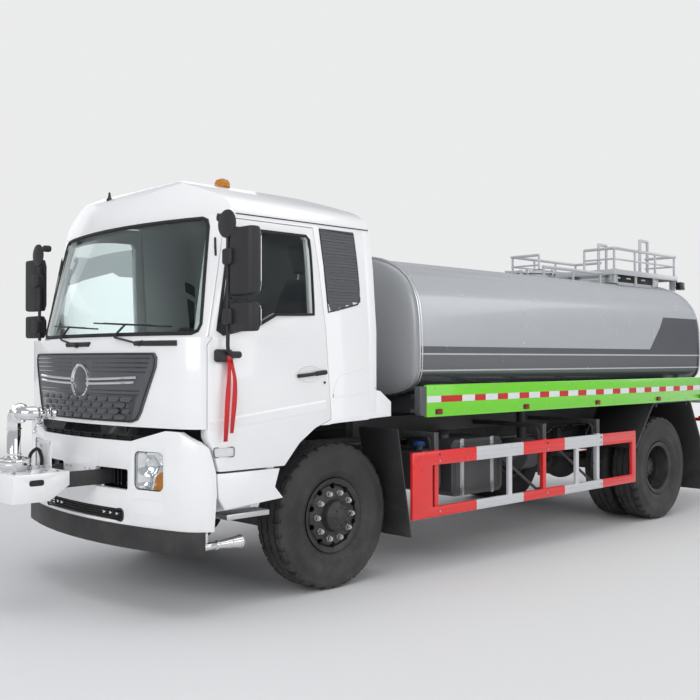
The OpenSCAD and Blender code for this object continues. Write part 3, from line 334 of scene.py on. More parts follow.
cast_grey = finish("cast_grey", (0.10, 0.10, 0.105), 0.62, metal=0.3, spread=0.4, grain_scale=140, bump=0.5,
    bump_depth=0.001, dust_amount=0.3)
skirt_green = finish("skirt_green", (0.17, 0.68, 0.012), 0.25, coat=0.5, spread=0.04, grain_scale=10, bump=0.05,
    dust_amount=0.05)
guard_red = finish("guard_red", (0.80, 0.020, 0.020), 0.28, coat=0.4, spread=0.05, grain_scale=12, bump=0.05,
    dust_amount=0.12)
chrome = finish("chrome", (0.80, 0.80, 0.81), 0.07, metal=1.0, spread=0.05, grain_scale=20, bump=0.02,
    dust_amount=0.08)
steel = finish("steel", (0.55, 0.55, 0.56), 0.30, metal=1.0, spread=0.15, grain_scale=90, bump=0.1, dust_amount=0.15)
aluminium = finish("aluminium", (0.62, 0.63, 0.64), 0.35, metal=0.9, spread=0.12, grain_scale=120, bump=0.15,
    dust_amount=0.15)
rim_black = finish("rim_black", (0.016, 0.016, 0.017), 0.36, spread=0.3, grain_scale=60, bump=0.1, dust_top=1.4,
    dust_amount=0.22)
nut_steel = finish("nut_steel", (0.62, 0.62, 0.62), 0.28, metal=1.0, spread=0.25, grain_scale=200, bump=0.1,
    dust_amount=0.2)
blue_cap = finish("blue_cap", (0.02, 0.09, 0.40), 0.4, spread=0.1, grain_scale=200, bump=0.1)
grey_stripe = finish("grey_stripe", (0.085, 0.09, 0.10), 0.35, spread=0.1, bump=0.05)
light_paint = finish("light_paint", (0.74, 0.75, 0.76), 0.3, spread=0.05, coat=0.3, bump=0.05)
seat_fabric_flat = finish("seat_trim", (0.03, 0.032, 0.036), 0.8, spread=0.2, grain_scale=300, bump=0.3,
    dust_amount=0)
print(len(bpy.data.materials), "materials so far")

# %% [markdown]
# ## Paint that follows the tank
# The tank's lower third is dark grey, set off by two thin white lines, and a
# dark swoosh climbs towards the rear. The pattern is drawn from heights and
# lengths along the tank, so it lies on the surface from every side.

# %% Tank paint
LINE_UPPER, LINE_LOWER, TANK_EDGE = 1.69, 1.56, 1.75


def tank_colours(tree):
    axes = object_axes(tree)
    height = axes["Z"]
    slope = sums(tree, "ADD", height, sums(tree, "MULTIPLY", sums(tree, "SUBTRACT", axes["X"], FRONT - 4.71), 1.03))
    swoosh = sums(tree, "MULTIPLY", sums(tree, "SUBTRACT", 1.0, step(tree, slope, 2.09)),
        sums(tree, "SUBTRACT", 1.0, step(tree, height, 2.09)))
    lower = sums(tree, "MAXIMUM", sums(tree, "SUBTRACT", 1.0, step(tree, height, TANK_EDGE)), swoosh)
    base = blend_colour(tree, lower, (0.46, 0.475, 0.50), (0.085, 0.090, 0.105))
    for line, half in ((LINE_UPPER, 0.006), (LINE_LOWER, 0.006)):
        band = sums(tree, "MULTIPLY", step(tree, height, line - half),
            sums(tree, "SUBTRACT", 1.0, step(tree, height, line + half)))
        base = blend_colour(tree, band, base, (0.55, 0.56, 0.57))
    return base


tank_silver = finish("tank_silver", (0.5, 0.5, 0.5), 0.26, metal=0.15, coat=0.5, spread=0.05, grain_scale=6,
    bump=0.10, bump_depth=0.003, dust_amount=0.1, paint=tank_colours)
plain_silver = finish("plain_silver", (0.50, 0.515, 0.535), 0.3, metal=0.15, coat=0.3, spread=0.08, grain_scale=20,
    bump=0.1, dust_amount=0.1)
print("tank paint", tank_silver.name)

# %% Side guard paint: red, with pale sections between chosen lengths
GUARD_CHANGES = (-1.42, -2.06, -2.69, -3.33)


def guard_colours(tree):
    x = object_axes(tree)["X"]
    pale = None
    for start, end in ((GUARD_CHANGES[1], GUARD_CHANGES[0]), (GUARD_CHANGES[3], GUARD_CHANGES[2])):
        band = sums(tree, "MULTIPLY", step(tree, x, FRONT + start),
            sums(tree, "SUBTRACT", 1.0, step(tree, x, FRONT + end)))
        pale = band if pale is None else sums(tree, "MAXIMUM", pale, band)
    painted = blend_colour(tree, pale, (0.80, 0.020, 0.020), (0.62, 0.63, 0.65))
    return blend_colour(tree, step(tree, object_axes(tree)["Z"], 0.945), painted, (0.055, 0.056, 0.060))


guard_paint = finish("guard_paint", (0.7, 0.02, 0.02), 0.28, coat=0.4, spread=0.05, grain_scale=12, bump=0.05,
    dust_amount=0.12, paint=guard_colours)
print("guard paint", guard_paint.name)

# %% [markdown]
# ## Glass and lamp lenses
# Window glass is a thin sheet: fully transmissive, with a faint green tint and
# almost no roughness. Lenses use the same shader in amber, red and clear.

# %% Glass
def lens(name, colour, rough=0.03, transmission=1.0, ior=1.45, scale=200.0, bump=0.0):
    material = bpy.data.materials.new(name)
    material.use_nodes = True
    tree = material.node_tree
    shader = tree.nodes["Principled BSDF"]
    shader.inputs["Transmission Weight"].default_value = transmission
    shader.inputs["IOR"].default_value = ior
    shade = blend_colour(tree, noise(tree, 2.0, 2.0, 0.5, put(tree, "ShaderNodeTexCoord").outputs["Object"]), colour,
        tuple(c * 0.94 for c in colour))
    tree.links.new(shade, shader.inputs["Base Color"])
    smear = noise(tree, 6.0, 4.0, 0.6, put(tree, "ShaderNodeTexCoord").outputs["Object"])
    tree.links.new(span(tree, smear, 0.3, 0.8, rough, rough + 0.03), shader.inputs["Roughness"])
    if bump:
        wave = put(tree, "ShaderNodeTexWave", bands_direction="Y")
        wave.inputs["Scale"].default_value = scale
        tree.links.new(put(tree, "ShaderNodeTexCoord").outputs["Object"], wave.inputs["Vector"])
        lump = put(tree, "ShaderNodeBump")
        lump.inputs["Strength"].default_value = bump
        lump.inputs["Distance"].default_value = 0.002
        tree.links.new(wave.outputs["Fac"], lump.inputs["Height"])
        tree.links.new(lump.outputs[0], shader.inputs["Normal"])
    return material


window_glass = lens("window_glass", (0.86, 0.93, 0.92), rough=0.0, ior=1.2)
lens_clear = lens("lens_clear", (0.97, 0.98, 0.98), ior=1.15)
lens_amber = lens("lens_amber", (0.95, 0.38, 0.03), rough=0.08, transmission=0.55, bump=0.4)
lens_red = lens("lens_red", (0.55, 0.01, 0.01), rough=0.08, transmission=0.45, bump=0.3)
print("lenses ready")
# %% [markdown]
# ## From a bmesh to a finished piece
# Every new piece goes through one function. It fixes the normals, gives the
# mesh its materials, adds a small bevel, makes faces smooth up to an angle,
# and ties the piece to the body it moves with.

# %% Smooth by angle, as a small node tree of its own
smoother = bpy.data.node_groups.new("smooth_to_angle", "GeometryNodeTree")
smoother.interface.new_socket("Geometry", in_out="INPUT", socket_type="NodeSocketGeometry")
smoother.interface.new_socket("Geometry", in_out="OUTPUT", socket_type="NodeSocketGeometry")
step_in = smoother.nodes.new("NodeGroupInput")
step_out = smoother.nodes.new("NodeGroupOutput")
all_smooth = put(smoother, "GeometryNodeSetShadeSmooth", domain="FACE")
sharp = put(smoother, "GeometryNodeSetShadeSmooth", domain="EDGE")
sharp.inputs["Shade Smooth"].default_value = False
edge_angle = put(smoother, "GeometryNodeInputMeshEdgeAngle")
over = put(smoother, "FunctionNodeCompare", data_type="FLOAT", operation="GREATER_THAN")
over.inputs[1].default_value = radians(32)
smoother.links.new(step_in.outputs[0], all_smooth.inputs["Geometry"])
smoother.links.new(all_smooth.outputs[0], sharp.inputs["Geometry"])
smoother.links.new(edge_angle.outputs["Unsigned Angle"], over.inputs[0])
smoother.links.new(over.outputs[0], sharp.inputs["Selection"])
smoother.links.new(sharp.outputs[0], step_out.inputs[0])


def add_smooth(thing):
    thing.modifiers.new("smooth", "NODES").node_group = smoother


def add_bevel(thing, width, segments=2, angle=30):
    edge = thing.modifiers.new("edges", "BEVEL")
    edge.width, edge.segments = width, segments
    edge.limit_method, edge.angle_limit = "ANGLE", radians(angle)
    edge.use_clamp_overlap = True


piece_count = 0


def make(name, bm, materials, body, slot, bevel=0.0, segments=2, normals=True, replaces=()):
    global piece_count
    if normals:
        bmesh.ops.recalc_face_normals(bm, faces=bm.faces)
    mesh = bpy.data.meshes.new(name)
    bm.to_mesh(mesh)
    bm.free()
    for material in materials if isinstance(materials, (list, tuple)) else [materials]:
        mesh.materials.append(material)
    thing = bpy.data.objects.new(name, mesh)
    bpy.context.collection.objects.link(thing)
    if bevel:
        add_bevel(thing, bevel, segments)
    add_smooth(thing)
    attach(thing, body)
    if replaces:
        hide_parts(*replaces)
    piece_count += 1
    return thing


# %% Building blocks, all in bmesh
def box(bm, low, high, material=0):
    low, high = Vector(low), Vector(high)
    size = high - low
    made = bmesh.ops.create_cube(bm, size=1, matrix=Matrix.Translation((low + high) / 2) @ Matrix.Diagonal((*size,
        1)))
    faces = {f for v in made["verts"] for f in v.link_faces}
    for f in faces:
        f.material_index = material
    return made["verts"]


def rod(bm, start, end, radius, radius_end=None, sides=20, material=0):
    start, end = Vector(start), Vector(end)
    turn = (end - start).to_track_quat("Z", "Y").to_matrix().to_4x4()
    made = bmesh.ops.create_cone(
        bm, cap_ends=True, segments=sides, radius1=radius, radius2=radius if radius_end is None else radius_end,
        depth=(end - start).length, matrix=Matrix.Translation((start + end) / 2) @ turn)
    for f in {f for v in made["verts"] for f in v.link_faces}:
        f.material_index = material
    return made["verts"]


def points_of(parts):
    return [p for p in parts if isinstance(p, bmesh.types.BMVert)]


def thicken(bm, faces, push):
    grown = bmesh.ops.extrude_face_region(bm, geom=faces)["geom"]
    bmesh.ops.translate(bm, vec=Vector(push), verts=points_of(grown))


def plate(bm, outline, start, end, axis="Y", material=0):
    place = {"Y": lambda a, b, c: (a, c, b), "X": lambda a, b, c: (c, a, b), "Z": lambda a, b, c: (a, b, c)}[axis]
    verts = [bm.verts.new(place(a, b, start)) for a, b in outline]
    face = bm.faces.new(verts)
    face.material_index = material
    grown = bmesh.ops.extrude_face_region(bm, geom=[face])["geom"]
    bmesh.ops.translate(bm, vec=Vector(place(0, 0, end - start)), verts=points_of(grown))


# A profile stops this far short of its axis, so that no face folds up there
CORE = 0.0005


def lathe(bm, profile, centre, axis="Y", steps=64, material=0, closed=True):
    along = {"X": Vector((1, 0, 0)), "Y": Vector((0, 1, 0)), "Z": Vector((0, 0, 1))}[axis]
    out = Vector((0, 0, 1)) if axis != "Z" else Vector((1, 0, 0))
    centre = Vector(centre)
    verts = [bm.verts.new(centre + out * r + along * h) for r, h in profile]
    edges = [bm.edges.new(pair) for pair in zip(verts, verts[1:] + (verts[:1] if closed else []))]
    bmesh.ops.spin(bm, geom=verts + edges, cent=centre, axis=along, angle=2 * pi, steps=steps, use_merge=True)


def tube(bm, points, radius, corner=0.04, sides=10, material=0, closed=False):
    path = bpy.data.curves.new("path", "CURVE")
    path.dimensions, path.bevel_depth, path.bevel_resolution = "3D", radius, max(1, sides // 4 - 1)
    path.use_fill_caps = True
    smooth = rounded_path([Vector(p) for p in points], corner, closed)
    line = path.splines.new("POLY")
    line.points.add(len(smooth) - 1)
    for point, at in zip(line.points, smooth):
        point.co = (*at, 1)
    line.use_cyclic_u = closed
    holder = bpy.data.objects.new("path", path)
    bpy.context.collection.objects.link(holder)
    shape = bpy.data.meshes.new_from_object(holder.evaluated_get(bpy.context.evaluated_depsgraph_get()))
    before = len(bm.faces)
    bm.from_mesh(shape)
    bm.faces.ensure_lookup_table()
    for index in range(before, len(bm.faces)):
        bm.faces[index].material_index = material
    bpy.data.objects.remove(holder)
    bpy.data.curves.remove(path)
    bpy.data.meshes.remove(shape)


def rounded_path(points, corner, closed=False, steps=5):
    if corner <= 0 or len(points) < 3:
        return points
    count, result = len(points), []
    for i, at in enumerate(points):
        if not closed and i in (0, count - 1):
            result.append(at)
            continue
        before, after = points[i - 1], points[(i + 1) % count]
        reach = min(corner, (at - before).length * 0.45, (after - at).length * 0.45)
        a = at + (before - at).normalized() * reach
        b = at + (after - at).normalized() * reach
        for k in range(steps + 1):
            t = k / steps
            result.append(a * (1 - t) ** 2 + at * 2 * t * (1 - t) + b * t ** 2)
    return result


def mirrored(bm):
    copy = bm.copy()
    bmesh.ops.scale(copy, vec=(1, -1, 1), verts=copy.verts)
    bmesh.ops.reverse_faces(copy, faces=copy.faces)
    return copy


def both(name, bm, materials, bodies, slot, **more):
    other = mirrored(bm)
    ends = ("left", "right")
    swap = more.pop("replaces_each", None)
    for end, mesh, body in zip(ends, (bm, other), bodies if isinstance(bodies, tuple) else (bodies, bodies)):
        extra = dict(more)
        if swap:
            extra["replaces"] = tuple(n + "_" + end for n in swap)
        make(name + "_" + end, mesh, materials, body, slot, **extra)


SIDES = (("left", 1), ("right", -1))
DOORS = ("door_left", "door_right")
print("helpers ready")

# %% [markdown]
# ## Touching the CAD surface
# Seals, strips and wipers lie on the cab's curved skin. A ray sent at the
# merged CAD panels finds the skin, so each piece sits where the steel is.

# %% Rays at the skin
from mathutils.bvhtree import BVHTree


def skin_of(*names):
    bm = bmesh.new()
    for name in names:
        bm.from_mesh(nodes[name].data)
    bmesh.ops.remove_doubles(bm, verts=bm.verts, dist=0.00005)
    tree = BVHTree.FromBMesh(bm)
    bm.free()
    return tree


front_skin = skin_of("cab_front_panel", "cab_side_frames", "windshield", "cab_roof", "grille_panel")
side_skin = skin_of("cab_front_panel", "cab_side_frames", "door_left", "cab_roof", "cab_back_wall", "wheel_arches")


NEARBY = [(0, 0)] + [(a * d, b * d) for d in (0.002, 0.005, 0.01, 0.02, 0.04) for a,
    b in ((1, 0), (-1, 0), (0, 1), (0, -1), (1, 1), (-1, 1), (1, -1), (-1, -1))]


def front_at(y, z, proud=0.0, skin=None):
    for dy, dz in NEARBY:
        hit = (skin or front_skin).ray_cast(Vector((FRONT + 3, y + dy, z + dz)), Vector((-1, 0, 0)))[0]
        if hit:
            return Vector((hit.x + proud, y, z))


def side_at(x, z, proud=0.0, skin=None):
    for dx, dz in NEARBY:
        hit = (skin or side_skin).ray_cast(Vector((FRONT + x + dx, 3, z + dz)), Vector((0, -1, 0)))[0]
        if hit:
            return Vector((FRONT + x, hit.y + proud, z))


print("skin at the grille's middle", tuple(round(v, 3) for v in front_at(0, 1.5)))

# %% [markdown]
# ## The CAD pieces that stay
# Most panels, rails and housings already have their shape. They get small
# rounded edges, smooth shading and their finish. A CAD mesh is loose
# triangles, so modifiers first weld it and join its flat faces.

# %% Finishes for the CAD nodes
CAD_FINISH = {
    cab_white: ["cab_back_wall", "cab_roof", "cab_front_panel", "cab_side_frames", "door_left", "door_right",
                "front_bumper", "monitor_bracket", "wheel_arches"],
    chassis_black: ["chassis_frame", "leaf_springs", "propeller_shaft", "air_reservoirs", "water_pipes"],
    frame_grey: ["tank_subframe", "side_tanks"],
    cast_grey: ["front_axle_beam", "rear_axle_housing", "engine_block", "knuckle_left", "knuckle_right",
        "water_pump"],
    trim_black: ["underrun_bar", "mudguards", "battery_box", "steering_wheel", "mirror_left", "mirror_right"],
    rim_black: ["rim_front_left", "rim_front_right", "rims_rear_left", "rims_rear_right"],
    interior_grey: ["cab_floor", "dashboard"],
    skirt_green: ["side_skirts"],
    guard_paint: ["side_guards"],
    guard_red: ["rear_bumper"],
    plain_silver: ["rear_platform", "tank_railings", "manhole_neck", "manhole_lid", "rear_ladder"],
    tank_silver: ["water_tank"],
    steel: ["silencer"],
    aluminium: ["cab_steps"],
    chrome: ["monitor_elbow", "monitor_barrel", "spray_nozzles"],
    window_glass: ["windshield", "door_glass_left", "door_glass_right"],
    grey_stripe: ["grille_panel"],
    seat_fabric_flat: ["seats"],
    rubber: ["tyre_front_left", "tyre_front_right", "tyres_rear_left", "tyres_rear_right"],
    lens_clear: ["headlamps"],
    lens_red: ["rear_lamps"],
    lens_amber: ["beacon"],
}
CAD_BEVEL = {"cab_white": 0.004, "skirt_green": 0.004, "guard_paint": 0.006, "window_glass": 0.0, "rubber": 0.006}
shown = 0
for material, names in CAD_FINISH.items():
    for name in names:
        node = nodes[name]
        node.data.materials.clear()
        node.data.materials.append(material)
        weld = node.modifiers.new("weld", "WELD")
        weld.merge_threshold = 0.0001
        flat = node.modifiers.new("flat", "DECIMATE")
        flat.decimate_type, flat.angle_limit = "DISSOLVE", radians(0.6)
        width = CAD_BEVEL.get(material.name, 0.003)
        if width:
            add_bevel(node, width)
        add_smooth(node)
        shown += 1
print(shown, "CAD nodes finished of", len(nodes))
# %% [markdown]
# ## Tyres
# A truck tyre has a deep tread of zigzag grooves with cut shoulders, and a
# sidewall with shallow rings. The section is spun around the axle; the grooves
# are then pushed from side to side at every step, and shoulder blocks inset.

# %% Tyre section and tread
TYRE_R, BEAD_R = 0.525, 0.256
TYRE_W = 0.28
TREAD_STEPS = 96
GROOVES = (-0.066, 0.0, 0.066)


def tyre_profile():
    half = TYRE_W / 2
    side = [(BEAD_R, 0.66), (0.268, 0.70), (0.275, 0.76), (0.290, 0.86), (0.318, 0.92), (0.322, 0.935),
        (0.326, 0.925),
            (0.365, 0.975), (0.400, 0.99), (0.412, 1.0), (0.424, 0.99), (0.455, 0.965), (0.478, 0.93),
                (0.486, 0.945), (0.505, 0.90), (0.519, 0.82)]
    crown = [(TYRE_R - 0.001, 0.70)]
    points = [(r, -f * half) for r, f in side] + [(r, -f * half) for r, f in crown]
    for y in GROOVES:
        lift = TYRE_R - 0.0015 * (abs(y) / 0.066)
        points += [(lift, y - 0.009), (lift - 0.013, y - 0.005), (lift - 0.013, y + 0.005), (lift, y + 0.009)]
    points += [(r, f * half) for r, f in reversed(crown)] + [(r, f * half) for r, f in reversed(side)]
    return points


def tyre_mesh(bm, centre):
    start = len(bm.verts)
    piece = bmesh.new()
    lathe(piece, tyre_profile(), centre, steps=TREAD_STEPS)
    bmesh.ops.remove_doubles(piece, verts=piece.verts, dist=0.00005)
    bmesh.ops.recalc_face_normals(piece, faces=piece.faces)
    middle = Vector(centre)
    for vert in piece.verts:
        spoke = vert.co - middle
        reach = hypot(spoke.x, spoke.z)
        if reach > TYRE_R - 0.018 and abs(spoke.y) < 0.08:
            turn = round((0.5 + Vector((spoke.x, spoke.z)).angle_signed(Vector((0, 1))) / (2 * pi)) * TREAD_STEPS)
            vert.co.y += 0.0065 if turn % 2 else -0.0065
    shoulders = []
    for face in piece.faces:
        spoke = face.calc_center_median() - middle
        reach = hypot(spoke.x, spoke.z)
        turn = int((0.5 + Vector((spoke.x, spoke.z)).angle_signed(Vector((0, 1))) / (2 * pi)) * TREAD_STEPS)
        if turn % 3 == 0 and 0.505 < reach and 0.075 < abs(spoke.y):
            shoulders.append(face)
    bmesh.ops.inset_region(piece, faces=shoulders, thickness=0.0015, depth=-0.009, use_even_offset=False)
    turned = bpy.data.meshes.new("tyre")
    piece.to_mesh(turned)
    piece.free()
    bm.from_mesh(turned)
    bpy.data.meshes.remove(turned)


tyre_rubber = finish("tyre_rubber", (0.022, 0.022, 0.023), 0.62, spread=0.35, grain_scale=90, bump=0.35,
    bump_depth=0.0012, dust_top=1.3, dust_amount=0.22)
TRACKS = {"tyre_front": (FRONT, (0.96,)), "tyres_rear": (REAR, (1.085, 0.765))}
for end, side in SIDES:
    for stem, (x, offsets) in TRACKS.items():
        bm = bmesh.new()
        for y in offsets:
            tyre_mesh(bm, (x, side * y, HUB_Z))
        body = ("wheel_front_" if stem == "tyre_front" else "wheels_rear_") + end
        tyre = make(stem.replace("tyre", "tread_tyre") + "_" + end, bm, tyre_rubber, body, "tyre_rubber",
            normals=False,
                    replaces=(stem + "_" + end,))
        print(tyre.name, len(tyre.data.polygons), "faces")

# %% [markdown]
# ## Wheel nuts and hub caps
# Ten bright nuts hold each wheel, on a circle 334 mm across the middle. The
# front hub has a domed cap; the rear one a flat flange with small bolts.

# %% Nuts, studs and caps
NUT_CIRCLE = 0.167


def nut(bm, x, y, z, out, size=0.019, height=0.026):
    rod(bm, (x, y - out * 0.002, z), (x, y + out * 0.006, z), size * 1.25, size * 1.1, sides=20)
    rod(bm, (x, y + out * 0.006, z), (x, y + out * height, z), size, sides=6)
    rod(bm, (x, y + out * height, z), (x, y + out * (height + 0.012), z), size * 0.55, sides=12)


def ring_of_nuts(bm, x, y, z, out, circle=NUT_CIRCLE, count=10, **size):
    for k in range(count):
        angle = 2 * pi * k / count
        nut(bm, x + circle * cos(angle), y, z + circle * sin(angle), out, **size)


FRONT_FACE_Y, REAR_FACE_Y = 0.96 + 0.1115, 1.085 - 0.160 + 0.016
for end, side in SIDES:
    bm = bmesh.new()
    ring_of_nuts(bm, FRONT, side * FRONT_FACE_Y, HUB_Z, side)
    make("wheel_nuts_front_" + end, bm, nut_steel, "wheel_front_" + end, "steel_bright")
    bm = bmesh.new()
    ring_of_nuts(bm, REAR, side * REAR_FACE_Y, HUB_Z, side)
    make("wheel_nuts_rear_" + end, bm, nut_steel, "wheels_rear_" + end, "steel_bright")
    bm = bmesh.new()
    y = side * (0.96 + 0.195)
    lathe(bm, [(CORE, side * 0.016), (0.03, side * 0.013), (0.05, side * 0.004), (0.056, -side * 0.004),
        (CORE, -side * 0.004)], (FRONT, y, HUB_Z), steps=32)
    ring_of_nuts(bm, FRONT, y - side * 0.002, HUB_Z, side, circle=0.068, count=8, size=0.006, height=0.006)
    make("hub_cap_front_" + end, bm, rim_black, "wheel_front_" + end, "rim_black", bevel=0.001)
    bm = bmesh.new()
    y = side * (0.925 + 0.162)
    ring_of_nuts(bm, REAR, y, HUB_Z, side, circle=0.078, count=8, size=0.009, height=0.009)
    lathe(bm, [(CORE, side * 0.008), (0.042, side * 0.008), (0.046, side * 0.003), (0.046, -side * 0.003),
        (CORE, -side * 0.003)], (REAR, y, HUB_Z), steps=32)
    make("hub_bolts_rear_" + end, bm, rim_black, "wheels_rear_" + end, "rim_black", bevel=0.001)
    bm = bmesh.new()
    tube(bm, [(FRONT + 0.20, side * 1.03, HUB_Z + 0.10), (FRONT + 0.215, side * 1.05, HUB_Z + 0.105),
        (FRONT + 0.19, side * 1.085, HUB_Z + 0.095)], 0.005, corner=0.01)
    make("tyre_valve_" + end, bm, rubber, "wheel_front_" + end, "rim_black")
print("wheels dressed")
# %% [markdown]
# ## The grille
# The dark tray on the cab's front is crossed by two chrome strips that dip
# to a plain round boss, and its lower part is a honeycomb mesh. Each strip is
# a tube laid on the tray's bowed skin.

# %% Grille strips, boss and mesh
def on_front(points, proud):
    return [front_at(y, z, proud) for y, z in points]


bm = bmesh.new()
for z_mid, z_end, reach in ((1.512, 1.530, 0.66), (1.482, 1.498, 0.64)):
    for side in (1, -1):
        path = [(side * (0.10 + (reach - 0.10) * k / 12), z_mid + (z_end - z_mid) * (k / 12) ** 1.3)
            for k in range(13)]
        tube(bm, on_front(path, 0.004), 0.011, corner=0, sides=12)
make("grille_strips", bm, chrome, "cab", "chrome")

bm = bmesh.new()
boss_x = front_at(0, 1.497).x
lathe(bm, [(0.098, 0.0), (0.104, 0.010), (0.112, 0.013), (0.120, 0.008), (0.122, -0.004), (0.096, -0.004)],
    (boss_x, 0, 1.497), axis="X", steps=64)
make("grille_boss_ring", bm, chrome, "cab", "chrome")
bm = bmesh.new()
lathe(bm, [(CORE, 0.012), (0.05, 0.0095), (0.088, 0.002), (0.099, -0.004), (CORE, -0.004)], (boss_x, 0, 1.497),
    axis="X", steps=64)
make("grille_boss", bm, grey_stripe, "cab", "grille_blue_grey")

bm = bmesh.new()
for k, z in enumerate((1.655, 1.625, 1.595, 1.565, 1.44, 1.415)):
    edge = 0.77 - (1.655 - z) * 0.42
    inner = 0.0 if z > 1.63 or z < 1.43 else 0.15
    for side in (1, -1):
        path = [(side * (inner + (edge - inner) * i / 10), z) for i in range(11)]
        tube(bm, on_front(path, 0.001), 0.004, corner=0, sides=8)
make("grille_ribs", bm, gloss_black, "cab", "grille_blue_grey")

bm = bmesh.new()
for row in range(4):
    z = 1.266 + row * 0.040
    reach = 0.575 + (z - 1.24) * 0.33
    for k in range(-5, 6):
        y = k * 0.124 + (0.062 if row % 2 else 0)
        half = min(0.057, reach - abs(y))
        if half < 0.025:
            continue
        cell = [(-half, 0), (0.018 - half, 0.0165), (half - 0.018, 0.0165), (half, 0), (half - 0.018, -0.0165),
            (0.018 - half, -0.0165)]
        face = [bm.verts.new(front_at(y + a, z + b, 0.008 - b * 0.42)) for a, b in cell]
        back = [bm.verts.new(front_at(y + a, z + b, -0.004)) for a, b in cell]
        bm.faces.new(face)
        for i in range(6):
            bm.faces.new((face[i], back[i], back[(i + 1) % 6], face[(i + 1) % 6]))
make("grille_mesh", bm, grey_stripe, "cab", "grille_blue_grey", bevel=0.0015)
# A flat gloss black sheet laid on the tray under the mesh: painted shade that stands in for the dark hollow behind
# the cells.
bm = bmesh.new()
for i in range(24):
    a, b = -0.60 + i * 0.05, -0.55 + i * 0.05
    corners = [bm.verts.new(front_at(y, z, 0.0015)) for y,
        z in ((a, 1.243), (b, 1.243), (b * 1.09, 1.412), (a * 1.09, 1.412))]
    bm.faces.new(corners)
make("grille_painted_shade", bm, gloss_black, "cab", "trim_black")

bm = bmesh.new()
frame_path = [(-0.60, 1.236), (0.60, 1.236), (0.652, 1.254), (0.688, 1.302), (0.812, 1.600), (0.817, 1.658),
    (0.797, 1.688),
              (-0.797, 1.688), (-0.817, 1.658), (-0.812, 1.600), (-0.688, 1.302), (-0.652, 1.254)]
dense = []
for (y0, z0), (y1, z1) in zip(frame_path, frame_path[1:] + frame_path[:1]):
    steps = max(1, int(hypot(y1 - y0, z1 - z0) / 0.08))
    dense += [(y0 + (y1 - y0) * i / steps, z0 + (z1 - z0) * i / steps) for i in range(steps)]
tube(bm, on_front([(y * 0.992, z0 + (0.004 if z0 < 1.5 else -0.004)) for y, z0 in dense], 0.0), 0.006, corner=0,
    sides=8, closed=True)
make("grille_edge", bm, trim_black, "cab", "trim_black")
print("grille dressed")

# %% [markdown]
# ## Windshield seal and wipers
# A black rubber seal frames the glass. Two wipers park low, each with an arm,
# a long blade and a cowl cover at its pivot.

# %% Windshield seal
SEAL = [(-0.970, 1.822), (0.970, 1.822), (1.015, 1.838), (1.030, 1.880), (0.945, 2.510), (0.925, 2.555),
        (0.885, 2.572), (-0.885, 2.572), (-0.925, 2.555), (-0.945, 2.510), (-1.030, 1.880), (-1.015, 1.838)]


window_skin = skin_of("cab_side_frames", "cab_front_panel", "cab_roof")
bm = bmesh.new()
outer = []
for (y0, z0), (y1, z1) in zip(SEAL, SEAL[1:] + SEAL[:1]):
    steps = max(1, int(hypot(y1 - y0, z1 - z0) / 0.05))
    for i in range(steps):
        y, z = y0 + (y1 - y0) * i / steps, z0 + (z1 - z0) * i / steps
        grow = 1.012
        outer.append(front_at(y * grow, (z - 2.197) * 1.018 + 2.197, -0.002, window_skin))
tube(bm, outer, 0.014, corner=0, sides=12, closed=True)
make("windshield_seal", bm, rubber, "cab", "trim_black")

# %% Wipers
bm = bmesh.new()
WIPERS = (((0.667, 1.752), (0.30, 1.80), (0.80, 1.862), (-0.05, 1.905)),
    ((-0.159, 1.748), (-0.50, 1.795), (0.02, 1.862), (-0.86, 1.905)))
for pivot, elbow, blade_a, blade_b in WIPERS:
    base = front_at(*pivot, 0.014)
    knee = front_at(*elbow, 0.03)
    middle = front_at((blade_a[0] + blade_b[0]) / 2, (blade_a[1] + blade_b[1]) / 2, 0.03)
    rod(bm, front_at(*pivot, -0.01), front_at(*pivot, 0.03), 0.022, 0.016)
    tube(bm, [base + Vector((0.012, 0, 0)), knee, middle], 0.0075, corner=0.03)
    blade = [front_at(blade_a[0] + (blade_b[0] - blade_a[0]) * i / 10,
        blade_a[1] + (blade_b[1] - blade_a[1]) * i / 10, 0.010) for i in range(11)]
    tube(bm, blade, 0.006, corner=0, sides=8)
    lifted = [p + Vector((0.010, 0, 0.004)) for p in blade[2:9]]
    tube(bm, lifted, 0.0045, corner=0, sides=8)
    for i in (2, 5, 8):
        rod(bm, blade[i], blade[i] + Vector((0.014, 0, 0.005)), 0.005)
make("wipers", bm, trim_black, "cab", "trim_black")
print("wipers parked")

# %% Cowl covers, and a vent strip under the windshield
bm = bmesh.new()
for y0, y1 in ((0.60, 0.98), (-0.32, 0.0)):
    path = [front_at(y0 + (y1 - y0) * i / 8, 1.752, 0.002) for i in range(9)]
    tube(bm, path, 0.018, corner=0, sides=12)
make("cowl_covers", bm, trim_black, "cab", "trim_black")
# %% [markdown]
# ## Strips and patches on curved skins
# Two more builders: a strip sweeps a small section along a path, and a patch
# is a grid of points that a function places. A patch is given its thickness
# by pushing a copy of it backwards.

# %% Sweep and patch
def sweep(bm, path, section, up=(0, 0, 1), closed=False, material=0):
    path, up, rings = [Vector(p) for p in path], Vector(up), []
    for i, at in enumerate(path):
        before = path[i - 1] if closed or i else at
        after = path[(i + 1) % len(path)] if closed or i + 1 < len(path) else at
        along = (after - before).normalized()
        out = along.cross(up).normalized()
        top = out.cross(along)
        rings.append([bm.verts.new(at + out * s + top * h) for s, h in section])
    pairs = list(zip(rings, rings[1:] + (rings[:1] if closed else [])))
    count = len(section)
    for a, b in pairs:
        for k in range(count):
            bm.faces.new((a[k], a[(k + 1) % count], b[(k + 1) % count], b[k])).material_index = material
    if not closed:
        for ring in (rings[0], rings[-1]):
            bm.faces.new(ring).material_index = material


